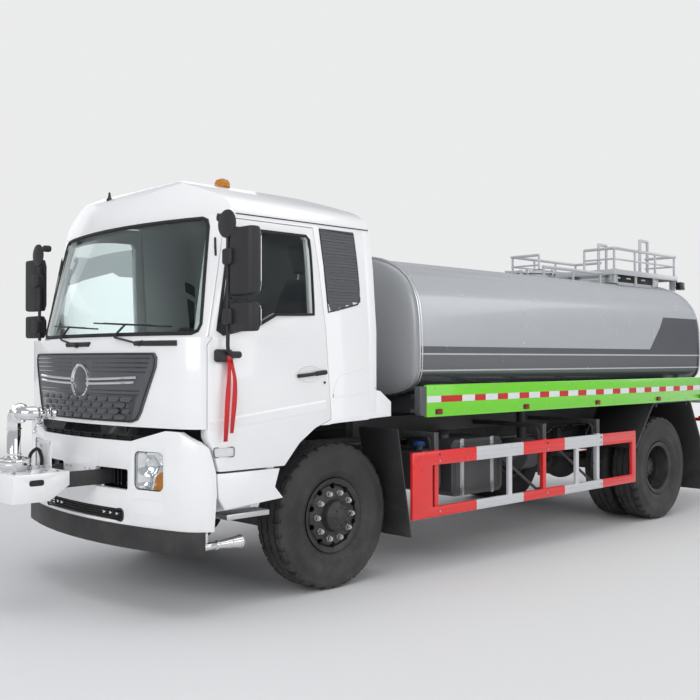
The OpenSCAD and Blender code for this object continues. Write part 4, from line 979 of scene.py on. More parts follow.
def patch(bm, place_at, rows, cols, push=None, material=0):
    grid = [[bm.verts.new(place_at(i / rows, j / cols)) for j in range(cols + 1)] for i in range(rows + 1)]
    faces = [bm.faces.new((grid[i][j], grid[i][j + 1], grid[i + 1][j + 1], grid[i + 1][j])) for i in range(rows)
        for j in range(cols)]
    for face in faces:
        face.material_index = material
    if push is not None:
        thicken(bm, faces, push)


def rounded_span(u, v, y0, y1, z0, z1, r):
    z = z0 + (z1 - z0) * (0.5 - 0.5 * cos(pi * u))
    short = max(0.0, r - min(z - z0, z1 - z))
    cut = r - sqrt(max(0.0, r * r - short * short))
    return y0 + cut + (y1 - y0 - 2 * cut) * v, z


def ring_outline(y0, y1, z0, z1, r, steps=6):
    points = []
    for cy, cz, start in ((y1 - r, z1 - r, 0), (y0 + r, z1 - r, 90), (y0 + r, z0 + r, 180), (y1 - r, z0 + r, 270)):
        for k in range(steps + 1):
            turn = radians(start + 90 * k / steps)
            points.append((cy + r * cos(turn), cz + r * sin(turn)))
    return points


# %% [markdown]
# ## Headlamps
# Behind each clear lens lie a bright fluted bowl with a round reflector in it
# and, at the lower outer corner, the amber turn lamp.

# %% Headlamps
LAMP = (0.630, 0.885, 0.800, 1.050, 0.040)
lamp_skin = skin_of("headlamps")


def lamp_bowl(u, v):
    y, z = rounded_span(u, v, LAMP[0] + 0.004, LAMP[1] - 0.004, LAMP[2] + 0.004, LAMP[3] - 0.004, 0.036)
    rim = min(1.0, 9 * min(u, v, 1 - u, 1 - v))
    deep = 0.020 + 0.030 * rim
    for cy, cz, r, more in ((0.712, 0.950, 0.075, 0.050), (0.815, 0.985, 0.055, 0.035), (0.695, 0.850, 0.045, 0.020)):
        away = hypot(y - cy, z - cz) / r
        if away < 1:
            deep += more * (1 - away * away)
    return front_at(y, z, -deep, lamp_skin)


def lamp_face(u, v):
    y, z = rounded_span(u, v, *LAMP)
    return front_at(y, z, 0.0, lamp_skin)


def turn_face(u, v):
    reach = 0.088 * sqrt(max(0.0, 1 - (1 - u) ** 2.4)) if u < 1 else 0.088
    z = LAMP[2] + 0.006 + 0.125 * (1 - u) ** 1.0
    y = LAMP[1] - 0.007 - reach * (1 - v)
    return front_at(y, z, -0.012 + 0.008 * sin(pi * v), lamp_skin)


lamp_glow = finish("lamp_reflector", (0.86, 0.87, 0.88), 0.06, metal=1.0, spread=0.12, grain_scale=30, bump=0.25,
    bump_depth=0.004, dust_amount=0)
bm = bmesh.new()
patch(bm, lamp_bowl, 26, 26, push=(-0.004, 0, 0))
both("headlamp_bowl", bm, lamp_glow, "chassis", "lamp_clear")
bm = bmesh.new()
patch(bm, lamp_face, 16, 16, push=(-0.003, 0, 0))
both("headlamp_lens", bm, lens_clear, "chassis", "lamp_clear", bevel=0.001)
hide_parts("headlamps")
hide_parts("headlamps")
bm = bmesh.new()
patch(bm, turn_face, 12, 10, push=(-0.012, 0, 0))
both("headlamp_turn", bm, lens_amber, "chassis", "beacon_amber")
bm = bmesh.new()
for cy, cz, r in ((0.712, 0.950, 0.042), (0.815, 0.985, 0.030)):
    at = front_at(cy, cz, -0.062, lamp_skin)
    lathe(bm, [(CORE, 0.0), (r * 0.7, 0.0), (r, 0.006), (r * 0.96, 0.014), (r * 0.6, 0.022), (CORE, 0.026)], at,
        axis="X", steps=40)
both("headlamp_projector", bm, lens_clear, "chassis", "lamp_clear")
bm = bmesh.new()
rim = [front_at(y, z, 0.001, lamp_skin) for y, z in ring_outline(*LAMP)]
tube(bm, [p - Vector((0.004, 0, 0)) for p in rim], 0.004, corner=0, sides=8, closed=True)
both("headlamp_rim", bm, trim_black, "chassis", "trim_black")
print("headlamps lit from both sides")

# %% [markdown]
# ## Bumper openings
# A black slatted band fills the gap under the cab, two deep dark pockets flank
# the plain middle plate, and the slot near the bottom holds slats and five
# small lamps.

# %% Bumper trim
outer_bumper = skin_of("front_bumper", "headlamps")


def bumper_x(y, z=1.095):
    return front_at(y, z, 0.0, outer_bumper).x


bm = bmesh.new()
for z in (1.098, 1.113, 1.128, 1.143):
    reach = 0.60 + (z - 1.098) * 1.2
    path = [(bumper_x(reach * (k / 12 - 1)) - 0.015, reach * (k / 12 - 1), z) for k in range(25)]
    sweep(bm, path, [(-0.012, -0.003), (0.010, -0.001), (0.010, 0.002), (-0.012, 0.001)])
for k in range(-4, 5):
    y = k * 0.145
    box(bm, (bumper_x(y) - 0.028, y - 0.004, 1.085), (bumper_x(y) - 0.009, y + 0.004, 1.145))
back = [(bumper_x(0.66 * (k / 12 - 1)) - 0.029, 0.66 * (k / 12 - 1), 1.112) for k in range(25)]
sweep(bm, back, [(-0.003, -0.040), (0.0, -0.040), (0.0, 0.034), (-0.003, 0.034)])
make("bumper_louvre", bm, trim_black, "chassis", "trim_black", bevel=0.0008, segments=1)

bm = bmesh.new()
for side in (1, -1):
    y0, y1 = sorted((side * 0.218, side * 0.577))
    front = bumper_x(side * 0.57, 0.94) - 0.030
    box(bm, (front - 0.075, y0, 0.783), (front - 0.070, y1, 0.932))
    box(bm, (front - 0.070, y0, 0.783), (front, y1, 0.788))
    box(bm, (front - 0.070, y0, 0.927), (front, y1, 0.932))
    for edge in (y0, y1 - 0.005):
        box(bm, (front - 0.070, edge, 0.788), (front, edge + 0.005, 0.927))
    for k in range(3):
        y = side * (0.30 + 0.045 * k)
        box(bm, (front - 0.070, y - 0.006, 0.80), (front - 0.030, y + 0.006, 0.915))
    y0, y1 = sorted((side * 0.470, side * 0.572))
    box(bm, (front - 0.030, y0, 0.790), (front - 0.024, y1, 0.924))
make("bumper_pockets", bm, gloss_black, "chassis", "trim_black", bevel=0.001, segments=1)

bm = bmesh.new()


def slot(y):
    return front_at(y, 0.70, 0.0, outer_bumper).x - 0.022


for z in (0.595, 0.612, 0.629, 0.646):
    path = [(slot(0.50 * (k / 10 - 1)), 0.50 * (k / 10 - 1), z) for k in range(21)]
    sweep(bm, path, [(-0.008, -0.0025), (0.008, -0.0025), (0.008, 0.0025), (-0.008, 0.0025)])
back = [(slot(0.52 * (k / 10 - 1)) - 0.035, 0.52 * (k / 10 - 1), 0.62) for k in range(21)]
sweep(bm, back, [(-0.003, -0.045), (0.003, -0.045), (0.003, 0.045), (-0.003, 0.045)])
tube(bm, [(front_at(y, 0.71, 0.0, outer_bumper).x - 0.002, y, z) for y,
    z in ring_outline(-0.530, 0.530, 0.580, 0.660, 0.030)], 0.007, corner=0, sides=8, closed=True)
make("bumper_slot_slats", bm, trim_black, "chassis", "trim_black", bevel=0.0006, segments=1)
bm = bmesh.new()
for y in (-0.36, -0.29, 0.30, 0.37, 0.44):
    at = Vector((slot(y) + 0.002, y, 0.622))
    lathe(bm, [(CORE, 0.010), (0.010, 0.007), (0.014, 0.0), (0.014, -0.02), (CORE, -0.02)], at, axis="X", steps=24)
make("bumper_slot_lamps", bm, lamp_glow, "chassis", "lamp_clear")

bm = bmesh.new()
for y in (-0.16, -0.10, 0.10, 0.16):
    for z in (0.81, 0.90):
        at = front_at(y, z, 0.0, outer_bumper)
        rod(bm, at - Vector((0.002, 0, 0)), at + Vector((0.004, 0, 0)), 0.007, sides=6)
make("bumper_bolts", bm, nut_steel, "chassis", "steel_bright", bevel=0.0006, segments=1)

bm = bmesh.new()
for path in ([(0.628, 0.735), (0.70, 0.742), (0.885, 0.742)], [(0.628, 0.735), (0.628, 0.640), (0.885, 0.640)]):
    dense = []
    for (y0, z0), (y1, z1) in zip(path, path[1:]):
        dense += [(y0 + (y1 - y0) * i / 8, z0 + (z1 - z0) * i / 8) for i in range(8)]
    tube(bm, [front_at(y, z, 0.0, outer_bumper) for y, z in dense + [path[-1]]], 0.0022, corner=0, sides=8)
both("bumper_pressing", bm, cab_white, "chassis", "cab_white")
print("bumper dressed")
# %% [markdown]
# ## Cab sides
# The small parts that make a pressed steel cab believable lie on its side
# skin: window rubbers, a louvred panel, door handles, the roof seam, the
# folded line along the door and the side turn lamps.

# %% Seams, rubbers and louvres
def on_side(points, proud=0.0, spacing=0.07, closed=False):
    result = []
    ends = points[1:] + (points[:1] if closed else [])
    for (x0, z0), (x1, z1) in zip(points, ends):
        steps = max(1, int(hypot(x1 - x0, z1 - z0) / spacing))
        result += [side_at(x0 + (x1 - x0) * i / steps, z0 + (z1 - z0) * i / steps, proud) for i in range(steps)]
    return result if closed else result + [side_at(*points[-1], proud)]


WINDOW = [(0.305, 1.965), (0.640, 1.955), (0.790, 1.875), (1.055, 1.815), (1.078, 1.840), (0.962, 2.450),
          (0.925, 2.495), (0.330, 2.495), (0.305, 2.470)]
LOUVRE = [(0.190, 2.565), (-0.143, 2.555), (-0.165, 2.085), (-0.137, 2.045), (0.154, 1.978)]

bm = bmesh.new()
grown = [(x + (0.007 if x > 0.65 else -0.007), z + (0.007 if z > 2.2 else -0.007)) for x, z in WINDOW]
sweep(bm, on_side(grown, 0.001, closed=True), [(-0.010, -0.010), (0.004, -0.010), (0.006, 0.0), (0.004, 0.010),
    (-0.010, 0.010)], closed=True)
both("window_rubber", bm, rubber, DOORS, "trim_black")

bm = bmesh.new()
for k in range(26):
    t = k / 26
    lower = 2.560 - 0.580 * t
    front = 0.187 + (0.154 - 0.187) * t
    rear = -0.143 - 0.022 * min(1, t * 1.2)
    bottom = 1.978 + (0.154 - rear) * 0.23
    if lower < bottom + 0.012:
        front = min(front, 0.154 - (bottom - lower) * 0.4)
        rear = max(rear, -0.137 + 0.25 * (bottom + 0.012 - lower) / 0.08)
    if front - rear < 0.03:
        continue
    path = [side_at(front + (rear - front) * i / 5, lower, 0.002) for i in range(6)]
    ridge = 0.006 if k % 4 == 3 else 0.003
    sweep(bm, path, [(0.0, -0.011), (ridge, -0.009), (0.002, 0.010), (-0.004, 0.011)])
both("side_louvre", bm, interior_grey, "cab", "trim_black")
bm = bmesh.new()
sweep(bm, on_side(LOUVRE, 0.0, closed=True), [(-0.004, -0.006), (0.005, -0.004), (0.005, 0.004), (-0.004, 0.006)],
    closed=True)
both("louvre_frame", bm, trim_black, "cab", "trim_black")

bm = bmesh.new()
sweep(bm, on_side([(0.985, 2.600), (-0.300, 2.600)], 0.0),
    [(-0.004, -0.0035), (0.003, -0.0035), (0.005, 0.0), (0.003, 0.0035), (-0.004, 0.0035)])
both("roof_seam", bm, rubber, "cab", "trim_black")
bm = bmesh.new()
sweep(bm, on_side([(1.150, 1.252), (0.185, 1.352)], 0.0, 0.05),
    [(-0.004, 0.020), (0.0, 0.014), (0.008, 0.0), (0.002, -0.055), (-0.004, -0.060)])
both("door_fold", bm, cab_white, DOORS, "cab_white")

QUARTER = [(0.118, 1.380), (0.112, 1.430), (0.085, 1.490), (0.040, 1.535), (-0.100, 1.572), (-0.290, 1.608),
    (-0.304, 1.430), (-0.10, 1.400)]
bm = bmesh.new()
sweep(bm, on_side(QUARTER, 0.0, 0.04, closed=True),
    [(-0.003, -0.004), (0.0025, -0.002), (0.0025, 0.002), (-0.003, 0.004)], closed=True)
both("quarter_fold", bm, cab_white, "cab", "cab_white")
print("cab sides dressed")

# %% Door handles, key holes and side turn lamps
bm = bmesh.new()
for turn in range(24):
    a, b = 2 * pi * turn / 24, 2 * pi * (turn + 1) / 24
    ring = []
    for angle, grow, proud in ((a, 1.0, 0.0015), (a, 0.86, -0.004), (b, 0.86, -0.004), (b, 1.0, 0.0015)):
        at = side_at(0.335 + 0.115 * grow * cos(angle), 1.545 + 0.058 * grow * sin(angle), proud)
        ring.append(bm.verts.new(at))
    bm.faces.new(ring)
bmesh.ops.remove_doubles(bm, verts=bm.verts, dist=0.0004)
thicken(bm, list(bm.faces), (0, 0.0025, 0))
both("handle_dish", bm, cab_white, DOORS, "cab_white")
bm = bmesh.new()
grip = [side_at(0.450 - 0.26 * k / 8, 1.534 + 0.024 * k / 8, 0.006 + 0.016 * sin(pi * min(1, k / 6)))
    for k in range(9)]
tube(bm, grip[:7], 0.013, corner=0, sides=12)
tube(bm, grip[5:], 0.017, corner=0, sides=12)
key = side_at(0.198, 1.486)
rod(bm, key - Vector((0, 0.003, 0)), key + Vector((0, 0.005, 0)), 0.010, 0.009, sides=20)
both("door_handle", bm, trim_black, DOORS, "trim_black", bevel=0.0015)

TURN = (0.985, 1.128, 1.026, 1.088, 0.014)
bm = bmesh.new()
patch(bm, lambda u, v: side_at(*rounded_span(u, v, *TURN), 0.004 + 0.004 * sin(pi * v)), 8, 10, push=(0, -0.006, 0))
both("side_turn_lens", bm, lens_clear, DOORS, "lamp_clear", bevel=0.001)
bm = bmesh.new()
patch(bm, lambda u, v: side_at(*rounded_span(u, v, 0.992, 1.121, 1.033, 1.081, 0.01), 0.0025), 6, 10,
    push=(0, -0.003, 0))
both("side_turn_back", bm, lamp_glow, DOORS, "lamp_clear")
bm = bmesh.new()
lamp_edge = [side_at(x, z, 0.002) for x, z in ring_outline(*TURN)]
tube(bm, lamp_edge, 0.0028, corner=0, sides=8, closed=True)
both("side_turn_rim", bm, trim_black, DOORS, "trim_black")

bm = bmesh.new()
slot_top, slot_low = front_at(1.028, 2.440, 0.002), front_at(1.058, 2.320, 0.002)
tube(bm, [slot_top, (slot_top + slot_low) / 2 + Vector((0.002, 0, 0)), slot_low], 0.008, corner=0, sides=10)
both("pillar_slot", bm, trim_black, "cab", "trim_black")
print("handles, lamps and slots on")

# %% [markdown]
# ## Mirrors
# Each mirror has two rounded housings clamped to a bent tube, a bright glass
# in each, and a round close-view mirror on top. The CAD boxes are replaced by
# housings with big soft corners.

# %% Mirrors
def housing(bm, low, high, round_side=0.05, rounding=5):
    x0, y0, z0 = low
    x1, y1, z1 = high
    before = set(bm.verts)
    box(bm, low, high)
    made = [v for v in bm.verts if v not in before]
    edges = {e for v in made for e in v.link_edges}
    tall = [e for e in edges if abs(e.verts[0].co.z - e.verts[1].co.z) > 0.5 * (z1 - z0)]
    bmesh.ops.bevel(bm, geom=tall, offset=min(round_side, (x1 - x0) * 0.47), segments=rounding, profile=0.5,
        affect="EDGES", material=-1)
    made = [v for v in bm.verts if v not in before]
    flat = {e for v in made for e in v.link_edges if abs(e.verts[0].co.z - e.verts[1].co.z) < 1e-5
            and len(e.link_faces) == 2 and e.calc_face_angle(0) > 1.0}
    bmesh.ops.bevel(bm, geom=list(flat), offset=0.018, segments=3, profile=0.5, affect="EDGES", material=-1)


mirror_low, mirror_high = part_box("mirror_left")
print("mirror box", [round(v, 3) for v in (*mirror_low, *mirror_high)])
MX = FRONT + 1.100
ARM_Y = 1.272
bm = bmesh.new()
housing(bm, (MX - 0.080, 1.285, 2.045), (MX + 0.012, 1.526, 2.468))
housing(bm, (MX - 0.075, 1.285, 1.822), (MX + 0.010, 1.524, 2.003))
for z, tall in ((2.290, 0.052), (1.915, 0.050)):
    housing(bm, (MX - 0.030, 1.252, z - tall), (MX + 0.034, 1.345, z + tall), 0.014, 3)
lathe(bm, [(CORE, 0.016), (0.060, 0.012), (0.088, 0.002), (0.090, -0.006), (0.082, -0.010), (CORE, -0.010)],
      (MX + 0.010, ARM_Y + 0.004, 2.497), axis="X", steps=40)
rod(bm, (MX - 0.010, ARM_Y - 0.002, 2.395), (MX + 0.004, ARM_Y + 0.004, 2.44), 0.013, sides=12)
arm = [(MX - 0.022, 1.195, 2.545), (MX - 0.010, ARM_Y - 0.012, 2.540), (MX - 0.004, ARM_Y, 2.44),
    (MX - 0.004, ARM_Y, 1.81),
       (MX - 0.010, ARM_Y - 0.010, 1.715), (MX - 0.055, 1.228, 1.672)]
tube(bm, arm, 0.0125, corner=0.05, sides=16)
housing(bm, (MX - 0.085, 1.178, 1.630), (MX + 0.045, 1.228, 1.712), 0.02, 3)
housing(bm, (MX - 0.145, 1.205, 1.655), (MX - 0.045, 1.245, 1.700), 0.018, 4)
housing(bm, (MX - 0.055, 1.160, 2.520), (MX + 0.010, 1.210, 2.572), 0.012, 3)
both("mirror_shell", bm, trim_black, DOORS, "trim_black", replaces_each=("mirror",))
bm = bmesh.new()
for z0, z1 in ((2.065, 2.448), (1.840, 1.986)):
    patch(bm, lambda u, v, z0=z0, z1=z1: Vector((MX - 0.0815, *rounded_span(u, v, 1.305, 1.508, z0, z1, 0.03))), 10,
        6, push=(0.003, 0, 0))
patch(bm, lambda u, v: Vector((MX - 0.0015 - 0.002 * sin(pi * u),
    *rounded_span(u, v, ARM_Y - 0.072, ARM_Y + 0.078, 2.423, 2.571, 0.0735))), 14, 10, push=(0.003, 0, 0))
mirror_silver = finish("mirror_silver", (0.86, 0.88, 0.89), 0.02, metal=1.0, spread=0.02, grain_scale=8, bump=0.0,
    dust_amount=0)
both("mirror_glass", bm, mirror_silver, DOORS, "chrome")
bm = bmesh.new()
corner = [(1.066, 1.812), (1.080, 1.836), (1.020, 2.120), (0.960, 1.842)]
thicken(bm, [bm.faces.new([bm.verts.new(side_at(x, z, 0.002)) for x, z in corner])], (0, 0.006, 0))
both("window_corner", bm, trim_black, DOORS, "trim_black", bevel=0.002)
print("mirrors hung")

# %% [markdown]
# ## Roof
# An amber beacon with a red core stands on the roof, and a short black aerial
# stub sits at the front right.

# %% Beacon and aerial
beacon_low, beacon_high = (Vector(v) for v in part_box("beacon"))
middle = (beacon_low + beacon_high) / 2
radius = (beacon_high.x - beacon_low.x) / 2
tall = beacon_high.z - beacon_low.z
bm = bmesh.new()
lathe(bm, [(CORE, 0.0), (radius, 0.0), (radius, tall * 0.18), (radius * 0.9, tall * 0.22), (CORE, tall * 0.22)],
    (middle.x, middle.y, beacon_low.z), axis="Z", steps=40)
make("beacon_base", bm, trim_black, "cab", "trim_black", replaces=("beacon",))
bm = bmesh.new()
lathe(bm, [(radius * 0.86, tall * 0.20), (radius * 0.84, tall * 0.62), (radius * 0.66, tall * 0.86),
    (radius * 0.3, tall * 0.975), (CORE, tall * 0.99)],
      (middle.x, middle.y, beacon_low.z), axis="Z", steps=40, closed=False)
bmesh.ops.remove_doubles(bm, verts=bm.verts, dist=0.0003)
make("beacon_dome", bm, lens_amber, "cab", "beacon_amber")
bm = bmesh.new()
lathe(bm, [(CORE, tall * 0.22), (radius * 0.38, tall * 0.22), (radius * 0.38, tall * 0.66),
    (radius * 0.2, tall * 0.74), (CORE, tall * 0.74)],
      (middle.x, middle.y, beacon_low.z), axis="Z", steps=24)
make("beacon_core", bm, lens_red, "cab", "lamp_red")
roof_skin = skin_of("cab_roof")
aerial = Vector((FRONT + 1.02, -0.30, 0))
foot = roof_skin.ray_cast(Vector((aerial.x, aerial.y, 4)), Vector((0, 0, -1)))[0]
bm = bmesh.new()
lathe(bm, [(CORE, -0.01), (0.022, -0.01), (0.022, 0.006), (0.012, 0.018), (0.007, 0.055), (CORE, 0.058)], foot,
    axis="Z", steps=24)
make("roof_aerial", bm, trim_black, "cab", "trim_black")
print("beacon", tuple(round(v, 3) for v in middle), "aerial foot", tuple(round(v, 3) for v in foot))
# %% [markdown]
# ## The tank's ends, tape and markers
# A dished end is a shallow dome with a tight knuckle round its edge. It is
# lofted from rings that shrink towards the middle. The skirt carries the
# red and white reflective tape that heavy vehicles wear, cut in short lengths.

# %% Rings round the tank
tank_skin = skin_of("water_tank")
TANK_FRONT, TANK_REAR, TANK_MID = FRONT - 0.78, REAR - 1.0, 1.88
SKIRT_FACE = 1.2495


def girth(x, inset=0.0, steps=96):
    ring = []
    for k in range(steps):
        a = 2 * pi * k / steps
        out = Vector((0, cos(a), sin(a)))
        hit = tank_skin.ray_cast(Vector((x, 0, TANK_MID)) + out * 3, -out)[0]
        reach = hypot(hit.y, hit.z - TANK_MID) - inset
        ring.append(Vector((x, cos(a) * reach, TANK_MID + sin(a) * reach)))
    return ring


def loft(bm, rings, cap=True, material=0):
    rows = [[bm.verts.new(p) for p in ring] for ring in rings]
    count = len(rows[0])
    for low, high in zip(rows, rows[1:]):
        for k in range(count):
            bm.faces.new((low[k], low[(k + 1) % count], high[(k + 1) % count], high[k])).material_index = material
    if cap:
        centre = sum((v.co for v in rows[-1]), Vector()) / count
        hub = bm.verts.new(centre)
        for k in range(count):
            bm.faces.new((rows[-1][k], rows[-1][(k + 1) % count], hub)).material_index = material
    return rows


end_steel = finish("end_steel", (0.34, 0.35, 0.365), 0.32, metal=0.15, coat=0.3, spread=0.06, grain_scale=6,
    bump=0.08, bump_depth=0.002, dust_amount=0.12)
for end, x, way in (("front", TANK_FRONT, 1), ("rear", TANK_REAR, -1)):
    rim_x = x - way * 0.04
    bm = bmesh.new()
    rings = []
    for inset, bulge in ((0.012, -0.0385), (0.016, -0.032), (0.026, -0.020), (0.045, -0.008), (0.075, 0.001),
        (0.13, 0.008), (0.25, 0.016), (0.42, 0.024)):
        ring = girth(x - way * 0.055, inset)
        rings.append([Vector((x + way * bulge, p.y, p.z)) for p in ring])
    loft(bm, rings)
    make("tank_end_" + end, bm, end_steel, "chassis", "tank_silver")
    bm = bmesh.new()
    tube(bm, girth(x - way * 0.055, -0.0015), 0.0055, 0, 8, closed=True)
    tube(bm, [Vector((rim_x + way * 0.002, p.y, p.z)) for p in girth(x - way * 0.055, 0.006)], 0.006, 0, 8,
        closed=True)
    make("tank_rim_" + end, bm, steel, "chassis", "tank_silver")
print("tank ends ready")

# %% Skirts: tape, end plates, markers
tape_red = finish("tape_red", (0.58, 0.012, 0.012), 0.25, spread=0.15, grain_scale=700, bump=0.2, bump_depth=0.0003,
    dust_amount=0.05)
tape_white = finish("tape_white", (0.78, 0.79, 0.80), 0.25, spread=0.08, grain_scale=700, bump=0.2,
    bump_depth=0.0003, dust_amount=0.05)
bm = bmesh.new()
lengths = [(-0.815, -0.978, 1), (-0.978, -1.236, 0)]
at = -1.236
while at > -5.46:
    lengths += [(at, at - 0.163, 1), (at - 0.163, max(at - 0.302, -5.47), 0)]
    at -= 0.302
for start, stop, kind in lengths:
    box(bm, (FRONT + stop + 0.0006, SKIRT_FACE, 1.315), (FRONT + start - 0.0006, 1.2512, 1.365), kind)
both("skirt_tape", bm, [tape_red, tape_white], "chassis", "guard_red")
bm = bmesh.new()
plate(bm, [(FRONT - 0.735, 1.44), (FRONT - 0.735, 1.235), (FRONT - 0.755, 1.215), (FRONT - 0.8085, 1.215),
    (FRONT - 0.8085, 1.44)], 1.19, 1.249)
both("skirt_nose", bm, grey_stripe, "chassis", "frame_grey", bevel=0.004)
bm = bmesh.new()
for x in (-0.951, -2.10, -3.242, -4.40, -5.35):
    box(bm, (FRONT + x - 0.040, SKIRT_FACE, 1.222), (FRONT + x + 0.040, 1.256, 1.262), 1)
    box(bm, (FRONT + x - 0.033, 1.255, 1.227), (FRONT + x + 0.033, 1.264, 1.257), 0)
both("skirt_marker", bm, [lens_red, rubber], "chassis", "lamp_red", bevel=0.003)
bm = bmesh.new()
for z in (1.2085, 1.4465):
    tube(bm, [(TANK_FRONT - 0.04, 1.2445, z), (TANK_REAR + 0.04, 1.2445, z)], 0.0065, 0, 8)
both("skirt_roll", bm, skirt_green, "chassis", "skirt_green")
bm = bmesh.new()
for k in range(13):
    x = TANK_FRONT - 0.12 - k * (TANK_FRONT - TANK_REAR - 0.24) / 12
    for z in (1.232, 1.424):
        rod(bm, (x, SKIRT_FACE, z), (x, SKIRT_FACE + 0.005, z), 0.008, 0.006, 12)
both("skirt_screws", bm, steel, "chassis", "steel_bright", bevel=0.001)
print("skirts ready")

# %% [markdown]
# ## On top of the tank
# The walkway is a folded pan with raised tread bars. Its railing has rounded
# tube corners. The manhole lid is held down by swing bolts with wing nuts.

# %% Walkway edge, tread and side valance
DECK_A, DECK_B, DECK_Z = REAR - 1.4, REAR, 2.60


def tread_bar(bm, x, y, z, turn):
    turned = Matrix.Rotation(radians(45 if turn % 2 else -45), 4, "Z") @ Matrix.Diagonal((1, 0.34, 1, 1))
    bmesh.ops.create_cone(bm, cap_ends=True, segments=6, radius1=0.016, radius2=0.009, depth=0.004,
                          matrix=Matrix.Translation((x, y, z)) @ turned)


bm = bmesh.new()
for k in range(34):
    for j in range(15):
        x, y = DECK_A + 0.035 + k * 0.0405, -0.65 + j * 0.0925
        if hypot(x - (REAR + 0.56), y) < 0.30:
            continue
        tread_bar(bm, x, y, DECK_Z + 0.0215, k + j)
make("deck_tread", bm, aluminium, "chassis", "step_aluminium")
bm = bmesh.new()
for x0, x1, y0, y1 in ((DECK_A, DECK_B, 0.692, 0.703), (DECK_A - 0.003, DECK_A + 0.008, -0.70, 0.70),
                       (DECK_B - 0.008, DECK_B + 0.003, -0.70, 0.70), (DECK_A, DECK_B, -0.703, -0.692)):
    box(bm, (x0, y0, DECK_Z - 0.035), (x1, y1, DECK_Z + 0.022))
make("deck_edge", bm, plain_silver, "chassis", "tank_silver", bevel=0.003)
bm = bmesh.new()
plate(bm, [(DECK_B - 0.02, DECK_Z), (DECK_B - 0.02, 2.49), (DECK_B - 0.28, 2.43), (TANK_REAR + 0.10, 2.41),
    (TANK_REAR + 0.0, 2.45), (TANK_REAR - 0.02, DECK_Z)], 0.655, 0.663)
both("deck_valance", bm, plain_silver, "chassis", "tank_silver", bevel=0.002)
bm = bmesh.new()
box(bm, (TANK_REAR + 0.14, 0.664, 2.49), (DECK_B - 0.12, 0.6665, 2.575), 0)
for x in (TANK_REAR + 0.30, TANK_REAR + 0.62, TANK_REAR + 0.84):
    box(bm, (x, 0.6660, 2.527), (x + 0.09, 0.6685, 2.543), 1)
both("deck_slot", bm, [rubber, plain_silver], "chassis", "chassis_black", bevel=0.001)
print("walkway ready")

# %% Railing corners, cross bars and feet
bm = bmesh.new()
for x in (DECK_A + 0.03, DECK_A + 0.48, DECK_A + 0.93, DECK_B - 0.03):
    y, z = 0.67, DECK_Z + 0.02
    rod(bm, (x, y, z), (x, y, z + 0.006), 0.032, 0.032, 20)
    for a in (45, 135, 225, 315):
        at = Vector((x + cos(radians(a)) * 0.023, y + sin(radians(a)) * 0.023, z + 0.006))
        rod(bm, at, at + Vector((0, 0, 0.004)), 0.005, 0.005, 6)
    rod(bm, (x, y, z + 0.108), (x, y, z + 0.122), 0.0165, 0.0165, 16)
both("railing_feet", bm, plain_silver, "chassis", "steel_bright", bevel=0.001)
bm = bmesh.new()
for x in (DECK_A + 0.014, DECK_B - 0.014):
    bmesh.ops.create_icosphere(bm, subdivisions=2, radius=0.0185, matrix=Matrix.Translation((x, 0.67, DECK_Z + 0.25)))
both("railing_ends", bm, plain_silver, "chassis", "steel_bright")
bm = bmesh.new()
for z, r in ((DECK_Z + 0.25, 0.016), (DECK_Z + 0.135, 0.010)):
    rod(bm, (DECK_B - 0.03, -0.66, z), (DECK_B - 0.03, -0.30, z), r, r, 12)
    rod(bm, (DECK_B - 0.03, 0.30, z), (DECK_B - 0.03, 0.66, z), r, r, 12)
for y in (-0.30, 0.30):
    rod(bm, (DECK_B - 0.03, y, DECK_Z + 0.02), (DECK_B - 0.03, y, DECK_Z + 0.25), 0.013, 0.013, 12)
for y in (-0.66, 0.66):
    way = 1 if y > 0 else -1
    rod(bm, (DECK_A + 0.03, way * 0.30, DECK_Z + 0.135), (DECK_A + 0.03, y, DECK_Z + 0.135), 0.010, 0.010, 12)
    rod(bm, (DECK_A + 0.03, way * 0.30, DECK_Z + 0.25), (DECK_A + 0.03, y, DECK_Z + 0.25), 0.016, 0.016, 12)
make("railing_cross", bm, plain_silver, "chassis", "steel_bright")
bm = bmesh.new()
for x in (REAR + 1.185, REAR + 0.660, REAR + 0.135):
    box(bm, (x - 0.035, 0.575, 2.4365), (x + 0.035, 0.625, 2.4485))
both("handrail_feet", bm, plain_silver, "chassis", "tank_silver", bevel=0.002)
print("railings ready")

# %% Manhole: seal, swing bolts, handle, breather
MAN = Vector((REAR + 0.56, 0, 0))


def up(z):
    return Vector((0, 0, z))


bm = bmesh.new()
lathe(bm, [(0.236, 2.5595), (0.2665, 2.5595), (0.2665, 2.5565), (0.236, 2.5565)], MAN, "Z", 64)
make("manhole_seal", bm, rubber, "chassis", "chassis_black")
bm = bmesh.new()
for k in range(6):
    a = radians(60 * k + 30)
    out, side = Vector((cos(a), sin(a), 0)), Vector((-sin(a), cos(a), 0))
    foot = MAN + out * 0.286
    rod(bm, foot + up(2.520), foot + up(2.602), 0.007, 0.007, 12)
    rod(bm, foot + side * -0.020 + up(2.525), foot + side * 0.020 + up(2.525), 0.006, 0.006, 12)
    rod(bm, foot + up(2.577), foot + up(2.592), 0.013, 0.011, 6)
    for way in (-1, 1):
        rod(bm, foot + side * way * 0.010 + up(2.586), foot + side * way * 0.034 + up(2.600), 0.0045, 0.006, 10)
        low = foot + side * way * 0.017 - out * 0.028
        rod(bm, low + up(2.525), low + out * 0.030 + up(2.525), 0.006, 0.006, 8)
make("manhole_bolts", bm, steel, "chassis", "steel_bright", bevel=0.001)
bm = bmesh.new()
tube(bm, [MAN + Vector((-0.16, -0.07, 2.588)), MAN + Vector((-0.16, -0.07, 2.635)),
    MAN + Vector((-0.16, 0.07, 2.635)), MAN + Vector((-0.16, 0.07, 2.588))], 0.007, 0.02, 12)
